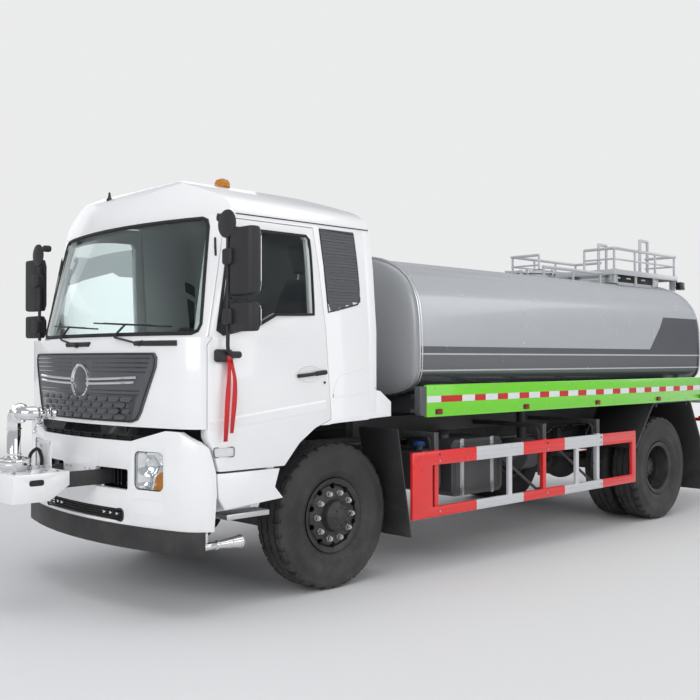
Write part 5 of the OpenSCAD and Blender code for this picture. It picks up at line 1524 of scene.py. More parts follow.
lathe(bm, [(CORE, 2.588), (0.052, 2.588), (0.052, 2.606), (0.040, 2.620), (CORE, 2.626)], MAN + Vector((0.02, 0, 0)),
    "Z", 32, closed=False)
for k in range(12):
    a = radians(30 * k)
    rod(bm, MAN + Vector((cos(a) * 0.158, sin(a) * 0.158, 2.589)),
        MAN + Vector((cos(a) * 0.158, sin(a) * 0.158, 2.5945)), 0.008, 0.008, 6)
make("manhole_fittings", bm, steel, "manhole_lid", "steel_bright", bevel=0.001)
print("manhole ready")

# %% Work lamps under the walkway, ladder treads
bm = bmesh.new()
x, y, z = FRONT - 5.90, 0.735, 2.505
box(bm, (x - 0.05, y - 0.035, z - 0.045), (x + 0.05, y + 0.03, z + 0.045), 0)
box(bm, (x - 0.040, y + 0.028, z - 0.035), (x + 0.040, y + 0.034, z + 0.035), 1)
for k in range(5):
    box(bm, (x - 0.045, y - 0.048, z - 0.034 + k * 0.016), (x + 0.045, y - 0.035, z - 0.028 + k * 0.016), 0)
rod(bm, (x, y - 0.075, z + 0.075), (x, y - 0.015, z + 0.02), 0.008, 0.008, 10, 0)
both("work_lamp", bm, [gloss_black, lens_clear], "chassis", "lamp_clear", bevel=0.003)
bm = bmesh.new()
for k in range(1, 6):
    z = 1.19 + 0.27 * k
    for j in range(11):
        lathe(bm, [(0.0138, -0.25 + j * 0.045), (0.0158, -0.246 + j * 0.045), (0.0158, -0.234 + j * 0.045),
            (0.0138, -0.230 + j * 0.045)], (REAR - 1.46, 0, z), "Y", 16)
make("ladder_grips", bm, steel, "chassis", "steel_bright")
bm = bmesh.new()
for y in (-0.28, 0.28):
    box(bm, (REAR - 1.50, y - 0.03, 1.1895), (REAR - 1.42, y + 0.03, 1.1965))
    for z in (1.70, 2.20):
        rod(bm, (REAR - 1.455, y, z), (TANK_REAR + 0.02, y, z), 0.011, 0.011, 12)
        rod(bm, (TANK_REAR - 0.022, y, z), (TANK_REAR - 0.006, y, z), 0.030, 0.030, 20)
make("ladder_mounts", bm, plain_silver, "chassis", "steel_bright", bevel=0.001)
bm = bmesh.new()
for k in range(24):
    for j in range(24):
        x, y = REAR - 1.90 + k * 0.037, -1.09 + j * 0.0948
        if x > TANK_REAR - 0.09:
            continue
        tread_bar(bm, x, y, 1.1918, k + j)
make("low_deck_tread", bm, aluminium, "chassis", "step_aluminium")
print(piece_count, "pieces with the tank's")
# %% [markdown]
# ## On the frame: tanks, guards, fenders, lamps
# Straps hold each tank to its bracket, bolts sit where plates meet, and a wiring
# harness follows the rails. All of them ride with the chassis.

# %% Fuel tank, urea tank, battery box
def strap(bm, x, width, points, thick=0.004):
    for a, b in zip(points, points[1:]):
        a, b = Vector((0, *a)), Vector((0, *b))
        along = (b - a).normalized()
        out = Vector((0, along.z, -along.y))
        a, b = a - along * thick * 0.5, b + along * thick * 0.5
        plate(bm, [(p.y, p.z) for p in (a, b, b + out * thick, a + out * thick)], x - width / 2, x + width / 2, "X")


bm = bmesh.new()
for x in (FRONT - 1.88, FRONT - 1.48):
    strap(bm, x, 0.05, [(0.60, 0.9855), (1.0505, 0.9855), (1.0505, 0.5195), (0.60, 0.5195)])
    strap(bm, x, 0.03, [(0.60, 0.990), (1.055, 0.990), (1.055, 0.515), (0.60, 0.515)], 0.003)
    for z in (0.60, 0.93):
        rod(bm, (x, 1.055, z), (x, 1.066, z), 0.009, 0.009, 6)
make("fuel_straps", bm, steel, "chassis", "steel_bright", bevel=0.001)
bm = bmesh.new()
x0, x1, z0, z1 = FRONT + -1.985, FRONT + -1.375, 0.555, 0.95
for inset in (0.0, 0.022):
    path = [(x0 + inset, z0 + inset), (x1 - inset, z0 + inset), (x1 - inset, z1 - inset), (x0 + inset, z1 - inset)]
    tube(bm, [(x, 1.0508, z) for x, z in path], 0.0035, 0.03, 8, closed=True)
make("fuel_press", bm, frame_grey, "chassis", "frame_grey")
for name, material, slot, cap, rim, brim, top, crown, ridges, ridge in (
        ("fuel_cap", trim_black, "trim_black", (FRONT - 1.48, 0.85, 1.0205), 0.060, 0.022, 0.054, 0.030, 16, 0.0045),
        ("urea_cap", blue_cap, "frame_grey", (FRONT - 1.075, 0.93, 0.9505), 0.046, 0.024, 0.038, 0.034, 12, 0.005)):
    bm = bmesh.new()
    cap = Vector(cap)
    profile = [(CORE, 0.0), (rim - 0.002, 0.0), (rim, 0.004), (rim, brim), (top, crown), (CORE, crown + 0.002)]
    lathe(bm, profile, cap, "Z", 40, closed=False)
    for k in range(ridges):
        a = 2 * pi * k / ridges
        rod(bm, cap + Vector((cos(a) * rim, sin(a) * rim, 0.004)), cap + Vector((cos(a) * rim, sin(a) * rim, brim)),
            ridge, ridge, 8)
    make(name, bm, material, "chassis", slot)
bm = bmesh.new()
strap(bm, FRONT - 1.13, 0.04, [(0.64, 0.9205), (1.0105, 0.9205), (1.0105, 0.5895), (0.64, 0.5895)])
tube(bm, [(FRONT - 1.075, 0.93, 0.93), (FRONT - 1.00, 0.86, 0.945), (FRONT - 0.99, 0.60, 0.95),
    (FRONT - 1.0, 0.45, 0.93)], 0.010, 0.05, 10)
make("urea_fittings", bm, trim_black, "chassis", "trim_black")
bm = bmesh.new()
x0, x1 = FRONT - 1.505, FRONT - 0.995
box(bm, (x0, -1.066, 0.905), (x1, -0.555, 0.9455))
for k in range(9):
    x = x0 + 0.05 + k * 0.0505
    box(bm, (x, -1.0655, 0.59), (x + 0.022, -1.0595, 0.88))
for k in range(6):
    y = -1.02 + k * 0.085
    for x in (x0, x1 - 0.006):
        box(bm, (x, y, 0.59), (x + 0.006, y + 0.04, 0.88))
make("battery_lid", bm, trim_black, "chassis", "trim_black", bevel=0.003)
bm = bmesh.new()
for x in (FRONT - 1.38, FRONT - 1.12):
    box(bm, (x - 0.018, -1.073, 0.86), (x + 0.018, -1.065, 0.925))
    rod(bm, (x - 0.022, -1.071, 0.893), (x + 0.022, -1.071, 0.893), 0.006, 0.006, 10)
make("battery_latches", bm, steel, "chassis", "steel_bright", bevel=0.002)
print("side tanks ready")

# %% Air tanks, silencer
bm = bmesh.new()
for y in (-0.64, -0.93):
    for x in (FRONT - 2.23, FRONT - 1.83):
        lathe(bm, [(0.1252, -0.02), (0.1285, -0.02), (0.1285, 0.02), (0.1252, 0.02)], (x, y, 0.76), "X", 40)
    for x, way in ((FRONT - 2.35, -1), (FRONT - 1.70, 1)):
        lathe(bm, [(0.124, 0), (0.118, way * 0.020), (0.085, way * 0.038), (CORE, way * 0.046)], (x, y, 0.76), "X",
            40, closed=False)
        rod(bm, (x, y, 0.76), (x + way * 0.058, y, 0.76), 0.014, 0.014, 6)
    rod(bm, (FRONT - 2.03, y, 0.62), (FRONT - 2.03, y, 0.638), 0.010, 0.013, 6)
make("air_tank_ends", bm, chassis_black, "chassis", "chassis_black", bevel=0.001)
bm = bmesh.new()
for x in (FRONT - 3.08, FRONT - 2.78):
    lathe(bm, [(0.1602, -0.02), (0.1635, -0.02), (0.1635, 0.02), (0.1602, 0.02)], (x, -0.8, 0.72), "X", 48)
for x in (FRONT - 3.198, FRONT - 2.652):
    lathe(bm, [(0.155, -0.006), (0.1655, -0.006), (0.1655, 0.006), (0.155, 0.006)], (x, -0.8, 0.72), "X", 48)
tube(bm, [(FRONT - 3.345, -0.80, 0.72), (FRONT - 3.42, -0.80, 0.72), (FRONT - 3.47, -0.84, 0.68)], 0.046, 0.06, 20)
make("silencer_bands", bm, steel, "chassis", "steel_bright")
bm = bmesh.new()
tube(bm, [(FRONT - 2.65, -0.80, 0.72), (FRONT - 2.50, -0.79, 0.72), (FRONT - 2.45, -0.50, 0.70),
    (FRONT - 2.2, -0.36, 0.69), (FRONT - 1.0, -0.33, 0.70), (FRONT - 0.45, -0.30, 0.78)], 0.040, 0.12, 16)
make("exhaust_pipe", bm, cast_grey, "chassis", "cast_grey")
print("air tanks and silencer ready")

# %% Side guards: flutes, bolts, dark tubes
bm = bmesh.new()
for z0, z1 in ((0.43, 0.51), (0.83, 0.94)):
    for z in (z0 + (z1 - z0) * 0.33, z0 + (z1 - z0) * 0.67):
        box(bm, (FRONT - 3.935, 1.2480, z - 0.005), (FRONT - 0.885, 1.2522, z + 0.005))
both("guard_flutes", bm, guard_paint, "chassis", "guard_red", bevel=0.0022)
bm = bmesh.new()
for x in (-0.96, -2.42, -3.30):
    for z in (0.47, 0.86, 0.91):
        rod(bm, (FRONT + x, 1.250, z), (FRONT + x, 1.2575, z), 0.009, 0.009, 6)
    tube(bm, [(FRONT + x, 1.165, 0.62), (FRONT + x, 1.165, 1.005), (FRONT + x, 1.12, 1.062),
        (FRONT + x, 0.45, 1.062)], 0.020, 0.07, 14, 1)
    if x < -1:
        tube(bm, [(FRONT + x + 0.05, 1.165, 0.50), (FRONT + x + 0.62, 1.10, 0.90)], 0.013, 0, 10, 1)
    for z in (0.50, 0.66):
        box(bm, (FRONT + x - 0.028, 1.150, z - 0.012), (FRONT + x + 0.028, 1.188, z + 0.012), 1)
both("guard_fixings", bm, [steel, frame_grey], "chassis", "steel_bright", bevel=0.001)
print("guards ready")

# %% Fenders: beaded edges, stays, mudflap bolts
bm = bmesh.new()
fender = [(0.55, 0.76), (0.18, 1.205), (-0.60, 1.205), (-0.85, 0.76)]
tube(bm, [(REAR + x, 1.2405, z) for x, z in fender], 0.009, 0.05, 8)
tube(bm, [(REAR + x, 0.6205, z) for x, z in fender], 0.007, 0.05, 8)
both("fender_bead", bm, frame_grey, "chassis", "frame_grey")
bm = bmesh.new()
box(bm, (REAR - 0.869, 0.63, 0.225), (REAR - 0.862, 1.235, 0.70), 0)
box(bm, (REAR - 0.872, 0.66, 0.66), (REAR - 0.868, 1.205, 0.70), 1)
for k in range(6):
    rod(bm, (REAR - 0.868, 0.69 + k * 0.098, 0.68), (REAR - 0.879, 0.69 + k * 0.098, 0.68), 0.009, 0.009, 6, 1)
for k in range(9):
    box(bm, (REAR - 0.872, 0.68 + k * 0.06, 0.27), (REAR - 0.868, 0.695 + k * 0.06, 0.60), 0)
both("mudflap", bm, [rubber, steel], "chassis", "trim_black", bevel=0.0015)
bm = bmesh.new()
points = [(-0.512, 1.12), (-0.655, 0.31)]
for y in (0.86, 1.02, 1.19):
    for t in (0.08, 0.92):
        x, z = points[0][0] + (points[1][0] - points[0][0]) * t, points[0][1] + (points[1][1] - points[0][1]) * t
        rod(bm, (FRONT + x + 0.006, y, z), (FRONT + x - 0.012, y, z + 0.003), 0.010, 0.010, 6, 1)
for t in (0.25, 0.5, 0.75):
    x, z = -0.507 + (-0.655 + 0.507) * t, 1.13 + (0.30 - 1.13) * t
    box(bm, (FRONT + x - 0.008, 0.84, z - 0.006), (FRONT + x + 0.008, 1.21, z + 0.006), 0)
both("front_flap_ribs", bm, [rubber, steel], "chassis", "trim_black", bevel=0.001)
print("fenders ready")

# %% Frame: rivets and harness
bm = bmesh.new()
for k in range(28):
    x = FRONT - 0.9 - k * 0.19
    for z in (0.79, 0.96):
        rod(bm, (x, 0.4295, z), (x, 0.4375, z), 0.011, 0.008, 10)
both("frame_rivets", bm, chassis_black, "chassis", "chassis_black")
bm = bmesh.new()
for dz, r, m in ((0.0, 0.012, 0), (0.028, 0.009, 0), (0.050, 0.007, 1)):
    tube(bm, [(FRONT + 0.2, 0.447, 0.90 + dz), (FRONT - 1.6, 0.447, 0.90 + dz), (FRONT - 1.7, 0.447, 0.84 + dz),
        (REAR + 0.9, 0.447, 0.84 + dz), (REAR + 0.8, 0.447, 0.90 + dz), (REAR - 1.9, 0.447, 0.90 + dz)], r, 0.06, 8,
            m)
for k in range(15):
    x = FRONT - 0.1 - k * 0.42
    if abs(x - (REAR + 0.86)) > 0.12 and abs(x - (FRONT - 1.65)) > 0.12:
        z = 0.90 if x > FRONT - 1.6 or x < REAR + 0.8 else 0.84
        box(bm, (x - 0.010, 0.430, z - 0.018), (x + 0.010, 0.462, z + 0.064), 1)
both("harness", bm, [rubber, steel], "chassis", "chassis_black")
print("frame details ready")

# %% Rear lamps, reflectors, bumper stripes
bm = bmesh.new()
X = REAR - 2.05 + 0.06
for y0, y1, m in ((0.790, 0.895, 1), (0.900, 1.010, 0), (1.015, 1.120, 2)):
    plate(bm, [(y0, 0.872), (y1, 0.872), (y1, 0.988), (y0, 0.988)], X - 0.010, X + 0.002, "X", m)
    for k in range(7):
        z = 0.884 + k * 0.0155
        box(bm, (X - 0.0125, y0 + 0.008, z), (X - 0.0095, y1 - 0.008, z + 0.009), m)
box(bm, (X - 0.004, 0.778, 0.858), (X + 0.030, 1.132, 1.002), 3)
both("rear_lens", bm, [lens_red, lens_amber, lens_clear, trim_black], "chassis", "lamp_red", bevel=0.002)
bm = bmesh.new()
XR = REAR - 2.05
for k in range(8):
    y0 = -1.14 + k * 0.285
    box(bm, (XR - 0.0012, y0, 0.455), (XR + 0.0008, y0 + 0.1425, 0.545), 0)
    box(bm, (XR - 0.0012, y0 + 0.1425, 0.455), (XR + 0.0008, y0 + 0.285, 0.545), 1)
make("bumper_tape", bm, [tape_red, tape_white], "chassis", "guard_red")
bm = bmesh.new()
for y in (-1.05, 1.05):
    rod(bm, (XR + 0.0, y, 0.60), (XR + 0.012, y, 0.60), 0.040, 0.040, 32, 0)
    box(bm, (XR + 0.012, y - 0.015, 0.545), (XR + 0.020, y + 0.015, 0.62), 1)
make("rear_reflectors", bm, [lens_red, frame_grey], "chassis", "lamp_red", bevel=0.001)
bm = bmesh.new()
box(bm, (XR + 0.061, -0.24, 0.600), (XR + 0.066, 0.24, 0.740))
box(bm, (XR + 0.062, -0.012, 0.56), (XR + 0.075, 0.012, 0.60))
make("rear_plate", bm, light_paint, "chassis", "cab_white", bevel=0.002)
bm = bmesh.new()
for y in (-0.30, 0.30):
    box(bm, (XR + 0.060, y - 0.028, 0.70), (XR + 0.10, y + 0.028, 0.75), 0)
    rod(bm, (XR + 0.085, y, 0.700), (XR + 0.085, y, 0.692), 0.016, 0.016, 16, 1)
for y in (-0.30, 0.30):
    box(bm, (XR + 0.072, y - 0.008, 0.56), (XR + 0.080, y + 0.008, 0.72), 0)
make("plate_lamps", bm, [trim_black, lens_clear], "chassis", "trim_black", bevel=0.002)
print("rear ready")

# %% Nozzles: rims and bands
bm = bmesh.new()
for x, r in ((FRONT + 1.06, 0.029), (FRONT + 1.16, 0.029), (FRONT + 0.955, 0.034)):
    lathe(bm, [(r - 0.008, -0.008), (r, -0.008), (r, 0.008), (r - 0.008, 0.008)], (x, 1.11, 0.46), "X", 32)
lathe(bm, [(0.038, -0.004), (0.0445, -0.004), (0.0445, 0.006), (0.038, 0.006)], (FRONT + 0.874, 1.11, 0.46), "X", 40)
box(bm, (FRONT + 1.14, 1.06, 0.485), (FRONT + 1.17, 1.125, 0.56))
tube(bm, [(FRONT + 1.17, 1.11, 0.46), (FRONT + 1.21, 1.10, 0.46), (FRONT + 1.22, 1.00, 0.47),
    (FRONT + 1.22, 0.70, 0.50)], 0.018, 0.04, 14)
both("nozzle_fittings", bm, chrome, "chassis", "chrome", bevel=0.001)
bm = bmesh.new()
for k in range(7):
    y = -0.9 + k * 0.3
    if abs(abs(y) - 0.7) < 0.08:
        continue
    lathe(bm, [(0.0302, -0.015), (0.036, -0.015), (0.036, 0.015), (0.0302, 0.015)], (REAR - 1.80, y, 0.70), "Y", 32)
make("spray_bar_bands", bm, chassis_black, "chassis", "chassis_black")
print(piece_count, "pieces with the chassis's")
# %% [markdown]
# ## Seats, by simulation
# A seat pad is foam under fabric: it swells between its stitched lines and
# stays flat where it rests. Each pad starts a little small, is remeshed into
# even quads, and is blown up by a short cloth simulation whose stitched lines
# are pinned. The movement is capped, and the result is kept as a mesh.

# %% Padded forms
weave = finish("seat_fabric", (0.040, 0.043, 0.050), 0.85, spread=0.35, grain_scale=650, bump=0.5, bump_depth=0.0006,
    dust_amount=0)


def puff(name, bm, pinned, cap, voxel=0.008):
    bmesh.ops.recalc_face_normals(bm, faces=bm.faces)
    rough_mesh = bpy.data.meshes.new(name)
    bm.to_mesh(rough_mesh)
    bm.free()
    thing = bpy.data.objects.new(name, rough_mesh)
    bpy.context.collection.objects.link(thing)
    even = thing.modifiers.new("even", "REMESH")
    even.mode, even.voxel_size = "VOXEL", voxel
    shape = bpy.data.meshes.new_from_object(thing.evaluated_get(bpy.context.evaluated_depsgraph_get()))
    thing.modifiers.clear()
    thing.data = shape
    start = [v.co.copy() for v in shape.vertices]
    held = thing.vertex_groups.new(name="held")
    held.add([i for i, p in enumerate(start) if pinned(p)], 1.0, "REPLACE")
    cloth = thing.modifiers.new("cloth", "CLOTH")
    cloth.settings.use_pressure, cloth.settings.uniform_pressure_force = True, 4.0
    cloth.settings.effector_weights.gravity = 0
    cloth.settings.vertex_group_mass = "held"
    cloth.collision_settings.use_collision = False
    cloth.point_cache.frame_start, cloth.point_cache.frame_end = 1, 20
    for moment in range(1, 21):
        scene.frame_set(moment)
    swollen = bpy.data.meshes.new_from_object(thing.evaluated_get(bpy.context.evaluated_depsgraph_get()))
    thing.modifiers.clear()
    thing.vertex_groups.clear()
    scene.frame_set(1)
    for v, before in zip(swollen.vertices, start):
        move = v.co - before
        if move.length > cap:
            v.co = before + move.normalized() * cap
    thing.data = swollen
    done = bmesh.new()
    done.from_mesh(thing.data)
    bpy.data.objects.remove(thing)
    return done


def pad(name, bm, replaces=()):
    for end, mesh in (("left", bm), ("right", mirrored(bm))):
        if end == "right":
            bmesh.ops.recalc_face_normals(mesh, faces=mesh.faces)
        thing = make(name + "_" + end, mesh, weave, "cab", "seat_fabric", normals=False)
        thing.modifiers.clear()
        full = thing.modifiers.new("full", "SUBSURF")
        full.levels = full.render_levels = 1
        for face in thing.data.polygons:
            face.use_smooth = True
        if end == "left" and replaces:
            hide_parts(*replaces)


def soft_box(low, high, bevel, segments=4):
    bm = bmesh.new()
    box(bm, low, high)
    bmesh.ops.bevel(bm, geom=bm.edges[:] + bm.verts[:], offset=bevel, segments=segments, affect="EDGES", profile=0.5,
        material=-1)
    return bm


SEAT_Y = 0.52
bm = soft_box((FRONT - 0.045, SEAT_Y - 0.236, 1.570), (FRONT + 0.437, SEAT_Y + 0.236, 1.688), 0.034)
pad("seat_cushion", puff("seat_cushion", bm, lambda p: p.z < 1.580 or abs(abs(p.y - SEAT_Y) - 0.155) < 0.005
    and p.z > 1.66
    or abs(p.x - FRONT - 0.31) < 0.005 and abs(p.y - SEAT_Y) < 0.155 and p.z > 1.66
        or abs(p.x - FRONT - 0.13) < 0.005 and abs(p.y - SEAT_Y) < 0.155 and p.z > 1.66, 0.012), ("seats",))
bm = bmesh.new()
plate(bm, [(FRONT - 0.062, 1.712), (FRONT + 0.054, 1.712), (FRONT + 0.008, 1.90), (FRONT - 0.052, 2.288),
    (FRONT - 0.102, 2.288), (FRONT - 0.138, 1.90)], SEAT_Y - 0.218, SEAT_Y + 0.218)
bmesh.ops.bevel(bm, geom=bm.edges[:] + bm.verts[:], offset=0.022, segments=4, affect="EDGES", profile=0.5,
    material=-1)
pad("seat_back", puff("seat_back", bm, lambda p: p.z < 1.722 or p.x < FRONT - 0.13
    or (p.x > FRONT - 0.06 + (2.29 - p.z) * 0.14 and (
    abs(abs(p.y - SEAT_Y) - 0.145) < 0.005 or abs(p.y - SEAT_Y) < 0.145
        and min(abs(p.z - z) for z in (1.86, 2.00, 2.14)) < 0.005)), 0.011))
bm = soft_box((FRONT - 0.117, SEAT_Y - 0.120, 2.312), (FRONT - 0.053, SEAT_Y + 0.120, 2.460), 0.024)
pad("seat_headrest", puff("seat_headrest", bm, lambda p: p.z < 2.318 or abs(p.x - FRONT + 0.085) < 0.005, 0.007,
    0.006))
print("pads ready")

# %% Seat bases, rails, belts
bm = bmesh.new()
for k in range(6):
    z = 1.305 + k * 0.038
    inset = 0.012 if k % 2 else 0.0
    box(bm, (FRONT + 0.012 + inset, SEAT_Y - 0.11 + inset, z),
        (FRONT + 0.388 - inset, SEAT_Y + 0.22 - inset, z + 0.034))
box(bm, (FRONT - 0.02, SEAT_Y - 0.205, 1.545), (FRONT + 0.41, SEAT_Y + 0.205, 1.568))
box(bm, (FRONT + 0.002, SEAT_Y - 0.118, 1.2905), (FRONT + 0.398, SEAT_Y + 0.228, 1.305))
both("seat_base", bm, trim_black, "cab", "trim_black", bevel=0.005)
bm = bmesh.new()
for y in (SEAT_Y - 0.06, SEAT_Y + 0.06):
    rod(bm, (FRONT - 0.082, y, 2.26), (FRONT - 0.085, y, 2.33), 0.007, 0.007, 12)
rod(bm, (FRONT + 0.40, SEAT_Y - 0.10, 1.535), (FRONT + 0.40, SEAT_Y + 0.10, 1.535), 0.007, 0.007, 12)
both("seat_steel", bm, steel, "cab", "steel_bright")
bm = bmesh.new()
belt = [(FRONT - 0.20, 1.095, 2.36), (FRONT - 0.17, 1.09, 2.10), (FRONT - 0.15, 1.085, 1.45)]
for (a, b) in zip(belt, belt[1:]):
    a, b = Vector(a), Vector(b)
    wide = Vector((0.023, 0, 0))
    thick = Vector((0, 0.0012, 0))
    corners = [bm.verts.new(p) for p in (a - wide - thick, a + wide - thick, b + wide - thick, b - wide - thick,
        a - wide + thick, a + wide + thick, b + wide + thick, b - wide + thick)]
    for f in ((0, 1, 2, 3), (7, 6, 5, 4), (0, 4, 5, 1), (1, 5, 6, 2), (2, 6, 7, 3), (3, 7, 4, 0)):
        bm.faces.new([corners[i] for i in f])
both("seat_belt", bm, weave, "cab", "trim_black")
bm = bmesh.new()
box(bm, (FRONT - 0.235, 1.085, 2.335), (FRONT - 0.165, 1.125, 2.395))
box(bm, (FRONT - 0.19, 1.075, 1.38), (FRONT - 0.11, 1.125, 1.47))
box(bm, (FRONT + 0.02, SEAT_Y - 0.285, 1.55), (FRONT + 0.06, SEAT_Y - 0.262, 1.69))
both("belt_fittings", bm, trim_black, "cab", "trim_black", bevel=0.004)
print("seats ready")

# %% [markdown]
# ## Driver's place
# The dashboard gets a hood over round dials, vents, a switch panel and a
# glovebox. A lever and a brake handle stand on the engine cover, pedals hang
# over the floor, and each door has its trim panel.

# %% Dashboard
low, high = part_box("dashboard")
DX, DZ = low[0], high[2]
wheel_axis = joint_at["steering_column"]
WY = wheel_axis.y
bm = bmesh.new()
plate(bm, [(DX + 0.02, DZ - 0.03), (DX + 0.045, DZ + 0.045), (DX + 0.16, DZ + 0.035), (DX + 0.24, DZ - 0.005),
    (DX + 0.24, DZ - 0.02)], WY - 0.21, WY + 0.21)
make("dash_hood", bm, interior_grey, "cab", "interior_grey", bevel=0.012, segments=4)
bm = bmesh.new()
face = DX + 0.012
for y, r in ((WY - 0.10, 0.048), (WY + 0.10, 0.048), (WY, 0.028)):
    lathe(bm, [(r - 0.004, -0.006), (r, -0.010), (r + 0.006, -0.004), (r + 0.006, 0.02), (r - 0.004, 0.02)],
        (DX + 0.030, y, DZ - 0.045), "X", 40, 0)
    rod(bm, (DX + 0.032, y, DZ - 0.045), (DX + 0.034, y, DZ - 0.045), r - 0.002, r - 0.002, 40, 1)
    for k in range(11):
        a = radians(-40 + 26 * k)
        c, s = cos(a), sin(a)
        rod(bm, (DX + 0.031, y + c * (r - 0.012), DZ - 0.045 + s * (r - 0.012)),
            (DX + 0.031, y + c * (r - 0.005), DZ - 0.045 + s * (r - 0.005)), 0.0008, 0.0008, 6, 2)
    rod(bm, (DX + 0.029, y, DZ - 0.045), (DX + 0.029, y - (r - 0.014) * 0.7, DZ - 0.045 + (r - 0.014) * 0.7), 0.0012,
        0.0006, 6, 3)
make("dash_dials", bm, [gloss_black, trim_black, light_paint, tape_red], "cab", "trim_black")
bm = bmesh.new()
for y in (-0.62, -0.30, 0.24, 0.86):
    box(bm, (DX + 0.006, y - 0.055, DZ - 0.095), (DX + 0.024, y + 0.055, DZ - 0.040), 0)
    for k in range(4):
        box(bm, (DX + 0.0035, y - 0.050, DZ - 0.090 + k * 0.013), (DX + 0.014, y + 0.050, DZ - 0.086 + k * 0.013), 1)
box(bm, (DX - 0.003, -0.13, DZ - 0.17), (DX + 0.02, 0.13, DZ - 0.045), 0)
box(bm, (DX - 0.006, -0.11, DZ - 0.10), (DX + 0.0, 0.11, DZ - 0.055), 1)
for k in range(8):
    box(bm, (DX - 0.009, -0.108 + k * 0.0275, DZ - 0.155), (DX - 0.002, -0.086 + k * 0.0275, DZ - 0.118), 1)
for y in (-0.055, 0.055):
    rod(bm, (DX - 0.002, y, DZ - 0.205), (DX - 0.022, y, DZ - 0.205), 0.020, 0.018, 24, 0)
box(bm, (DX + 0.0, -0.72, DZ - 0.20), (DX + 0.012, -0.36, DZ - 0.115), 0)
box(bm, (DX - 0.008, -0.57, DZ - 0.135), (DX + 0.003, -0.51, DZ - 0.120), 1)
make("dash_panels", bm, [gloss_black, interior_grey], "cab", "trim_black", bevel=0.002)
bm = bmesh.new()
tube(bm, [(FRONT + 0.50, 0.16, 1.435), (FRONT + 0.50, 0.165, 1.58), (FRONT + 0.44, 0.18, 1.70)], 0.008, 0.08, 12, 0)
bmesh.ops.create_icosphere(bm, subdivisions=3, radius=0.026, matrix=Matrix.Translation((FRONT + 0.436, 0.181, 1.712)))
lathe(bm, [(0.065, 0.0), (0.062, 0.02), (0.045, 0.03), (0.048, 0.045), (0.032, 0.055), (0.034, 0.07), (0.012, 0.085),
    (0.008, 0.085), (0.008, 0.0)], (FRONT + 0.50, 0.162, 1.4385), "Z", 32, 0)
box(bm, (FRONT + 0.15, 0.20, 1.4385), (FRONT + 0.34, 0.27, 1.475), 0)
tube(bm, [(FRONT + 0.30, 0.235, 1.47), (FRONT + 0.26, 0.235, 1.52), (FRONT + 0.17, 0.235, 1.535)], 0.010, 0.04, 12, 0)
make("cab_levers", bm, trim_black, "cab", "trim_black")
bm = bmesh.new()
for y, w in ((WY + 0.15, 0.035), (WY + 0.02, 0.035), (WY - 0.10, 0.025)):
    tube(bm, [(DX + 0.16, y, 1.46), (DX + 0.12, y, 1.40), (DX + 0.10, y, 1.36)], 0.009, 0.03, 10, 0)
    box(bm, (DX + 0.075, y - w, 1.335), (DX + 0.112, y + w, 1.375), 1)
make("cab_pedals", bm, [steel, rubber], "cab", "steel_bright", bevel=0.002)
bm = bmesh.new()
for k in range(20):
    y = -1.0 + k * 0.102
    if abs(y) > 0.40:
        box(bm, (FRONT + 0.30, y, 1.2905), (DX + 0.05, y + 0.012, 1.2945))
make("floor_mat", bm, rubber, "cab", "trim_black")
print("dashboard ready")

# %% Door trims
bm = bmesh.new()
box(bm, (FRONT + 0.06, 1.112, 1.38), (FRONT + 0.88, 1.129, 1.74), 0)
box(bm, (FRONT + 0.16, 1.066, 1.575), (FRONT + 0.62, 1.114, 1.615), 0)
box(bm, (FRONT + 0.16, 1.078, 1.40), (FRONT + 0.74, 1.114, 1.50), 1)
both("door_trim", bm, [interior_grey, trim_black], DOORS, "interior_grey", bevel=0.008, segments=3)
bm = bmesh.new()
box(bm, (FRONT + 0.60, 1.104, 1.655), (FRONT + 0.70, 1.1135, 1.695), 0)
box(bm, (FRONT + 0.61, 1.094, 1.666), (FRONT + 0.685, 1.104, 1.684), 1)
rod(bm, (FRONT + 0.30, 1.113, 1.66), (FRONT + 0.30, 1.096, 1.66), 0.016, 0.014, 24, 1)
tube(bm, [(FRONT + 0.30, 1.098, 1.66), (FRONT + 0.36, 1.092, 1.69)], 0.007, 0, 12, 1)
rod(bm, (FRONT + 0.36, 1.096, 1.69), (FRONT + 0.36, 1.066, 1.69), 0.011, 0.012, 20, 0)
for k in range(7):
    lathe(bm, [(CORE, 0.0), (0.068 - 0.009 * k, 0.0), (0.0665 - 0.009 * k, -0.0015), (CORE, -0.0015)],
        (FRONT + 0.45, 1.0785 - 0.0002 * k, 1.45), "Y", 32, 0, closed=False)
both("door_controls", bm, [trim_black, steel], DOORS, "trim_black", bevel=0.001)
print("door trims ready")

# %% Steering wheel: rim grip, hub pad, stalks
bm = bmesh.new()
axis_dir = Vector(next(j for j in frame["record"]["behaviour"]["joints"]
    if j["name"] == "steering_column")["axis"]).normalized()
if axis_dir.x > 0:
    axis_dir.negate()
turn = axis_dir.to_track_quat("Z", "Y").to_matrix().to_4x4()
spots = [v.co - wheel_axis for v in nodes["steering_wheel"].data.vertices]
top = max(p.dot(axis_dir) for p in spots)
ring = [p.dot(axis_dir) for p in spots if (p - axis_dir * p.dot(axis_dir)).length > 0.22]
level = sum(ring) / len(ring)
place = Matrix.Translation(wheel_axis + axis_dir * level) @ turn
for k in range(40):
    a = 2 * pi * k / 40
    bmesh.ops.create_cone(bm, cap_ends=True, segments=12, radius1=0.0172, radius2=0.0172, depth=0.020,
                                 matrix=place @ Matrix.Rotation(a, 4,
                                 "Z") @ Matrix.Translation((0.215, 0, 0)) @ Matrix.Rotation(pi / 2, 4, "X"))
bmesh.ops.create_cone(bm, cap_ends=True, segments=48, radius1=0.075, radius2=0.052, depth=0.022,
    matrix=Matrix.Translation(axis_dir * (top - level)) @ place)
make("steering_grip", bm, rubber, "steering_wheel", "trim_black", bevel=0.002)
print(piece_count, "pieces with the inside's")
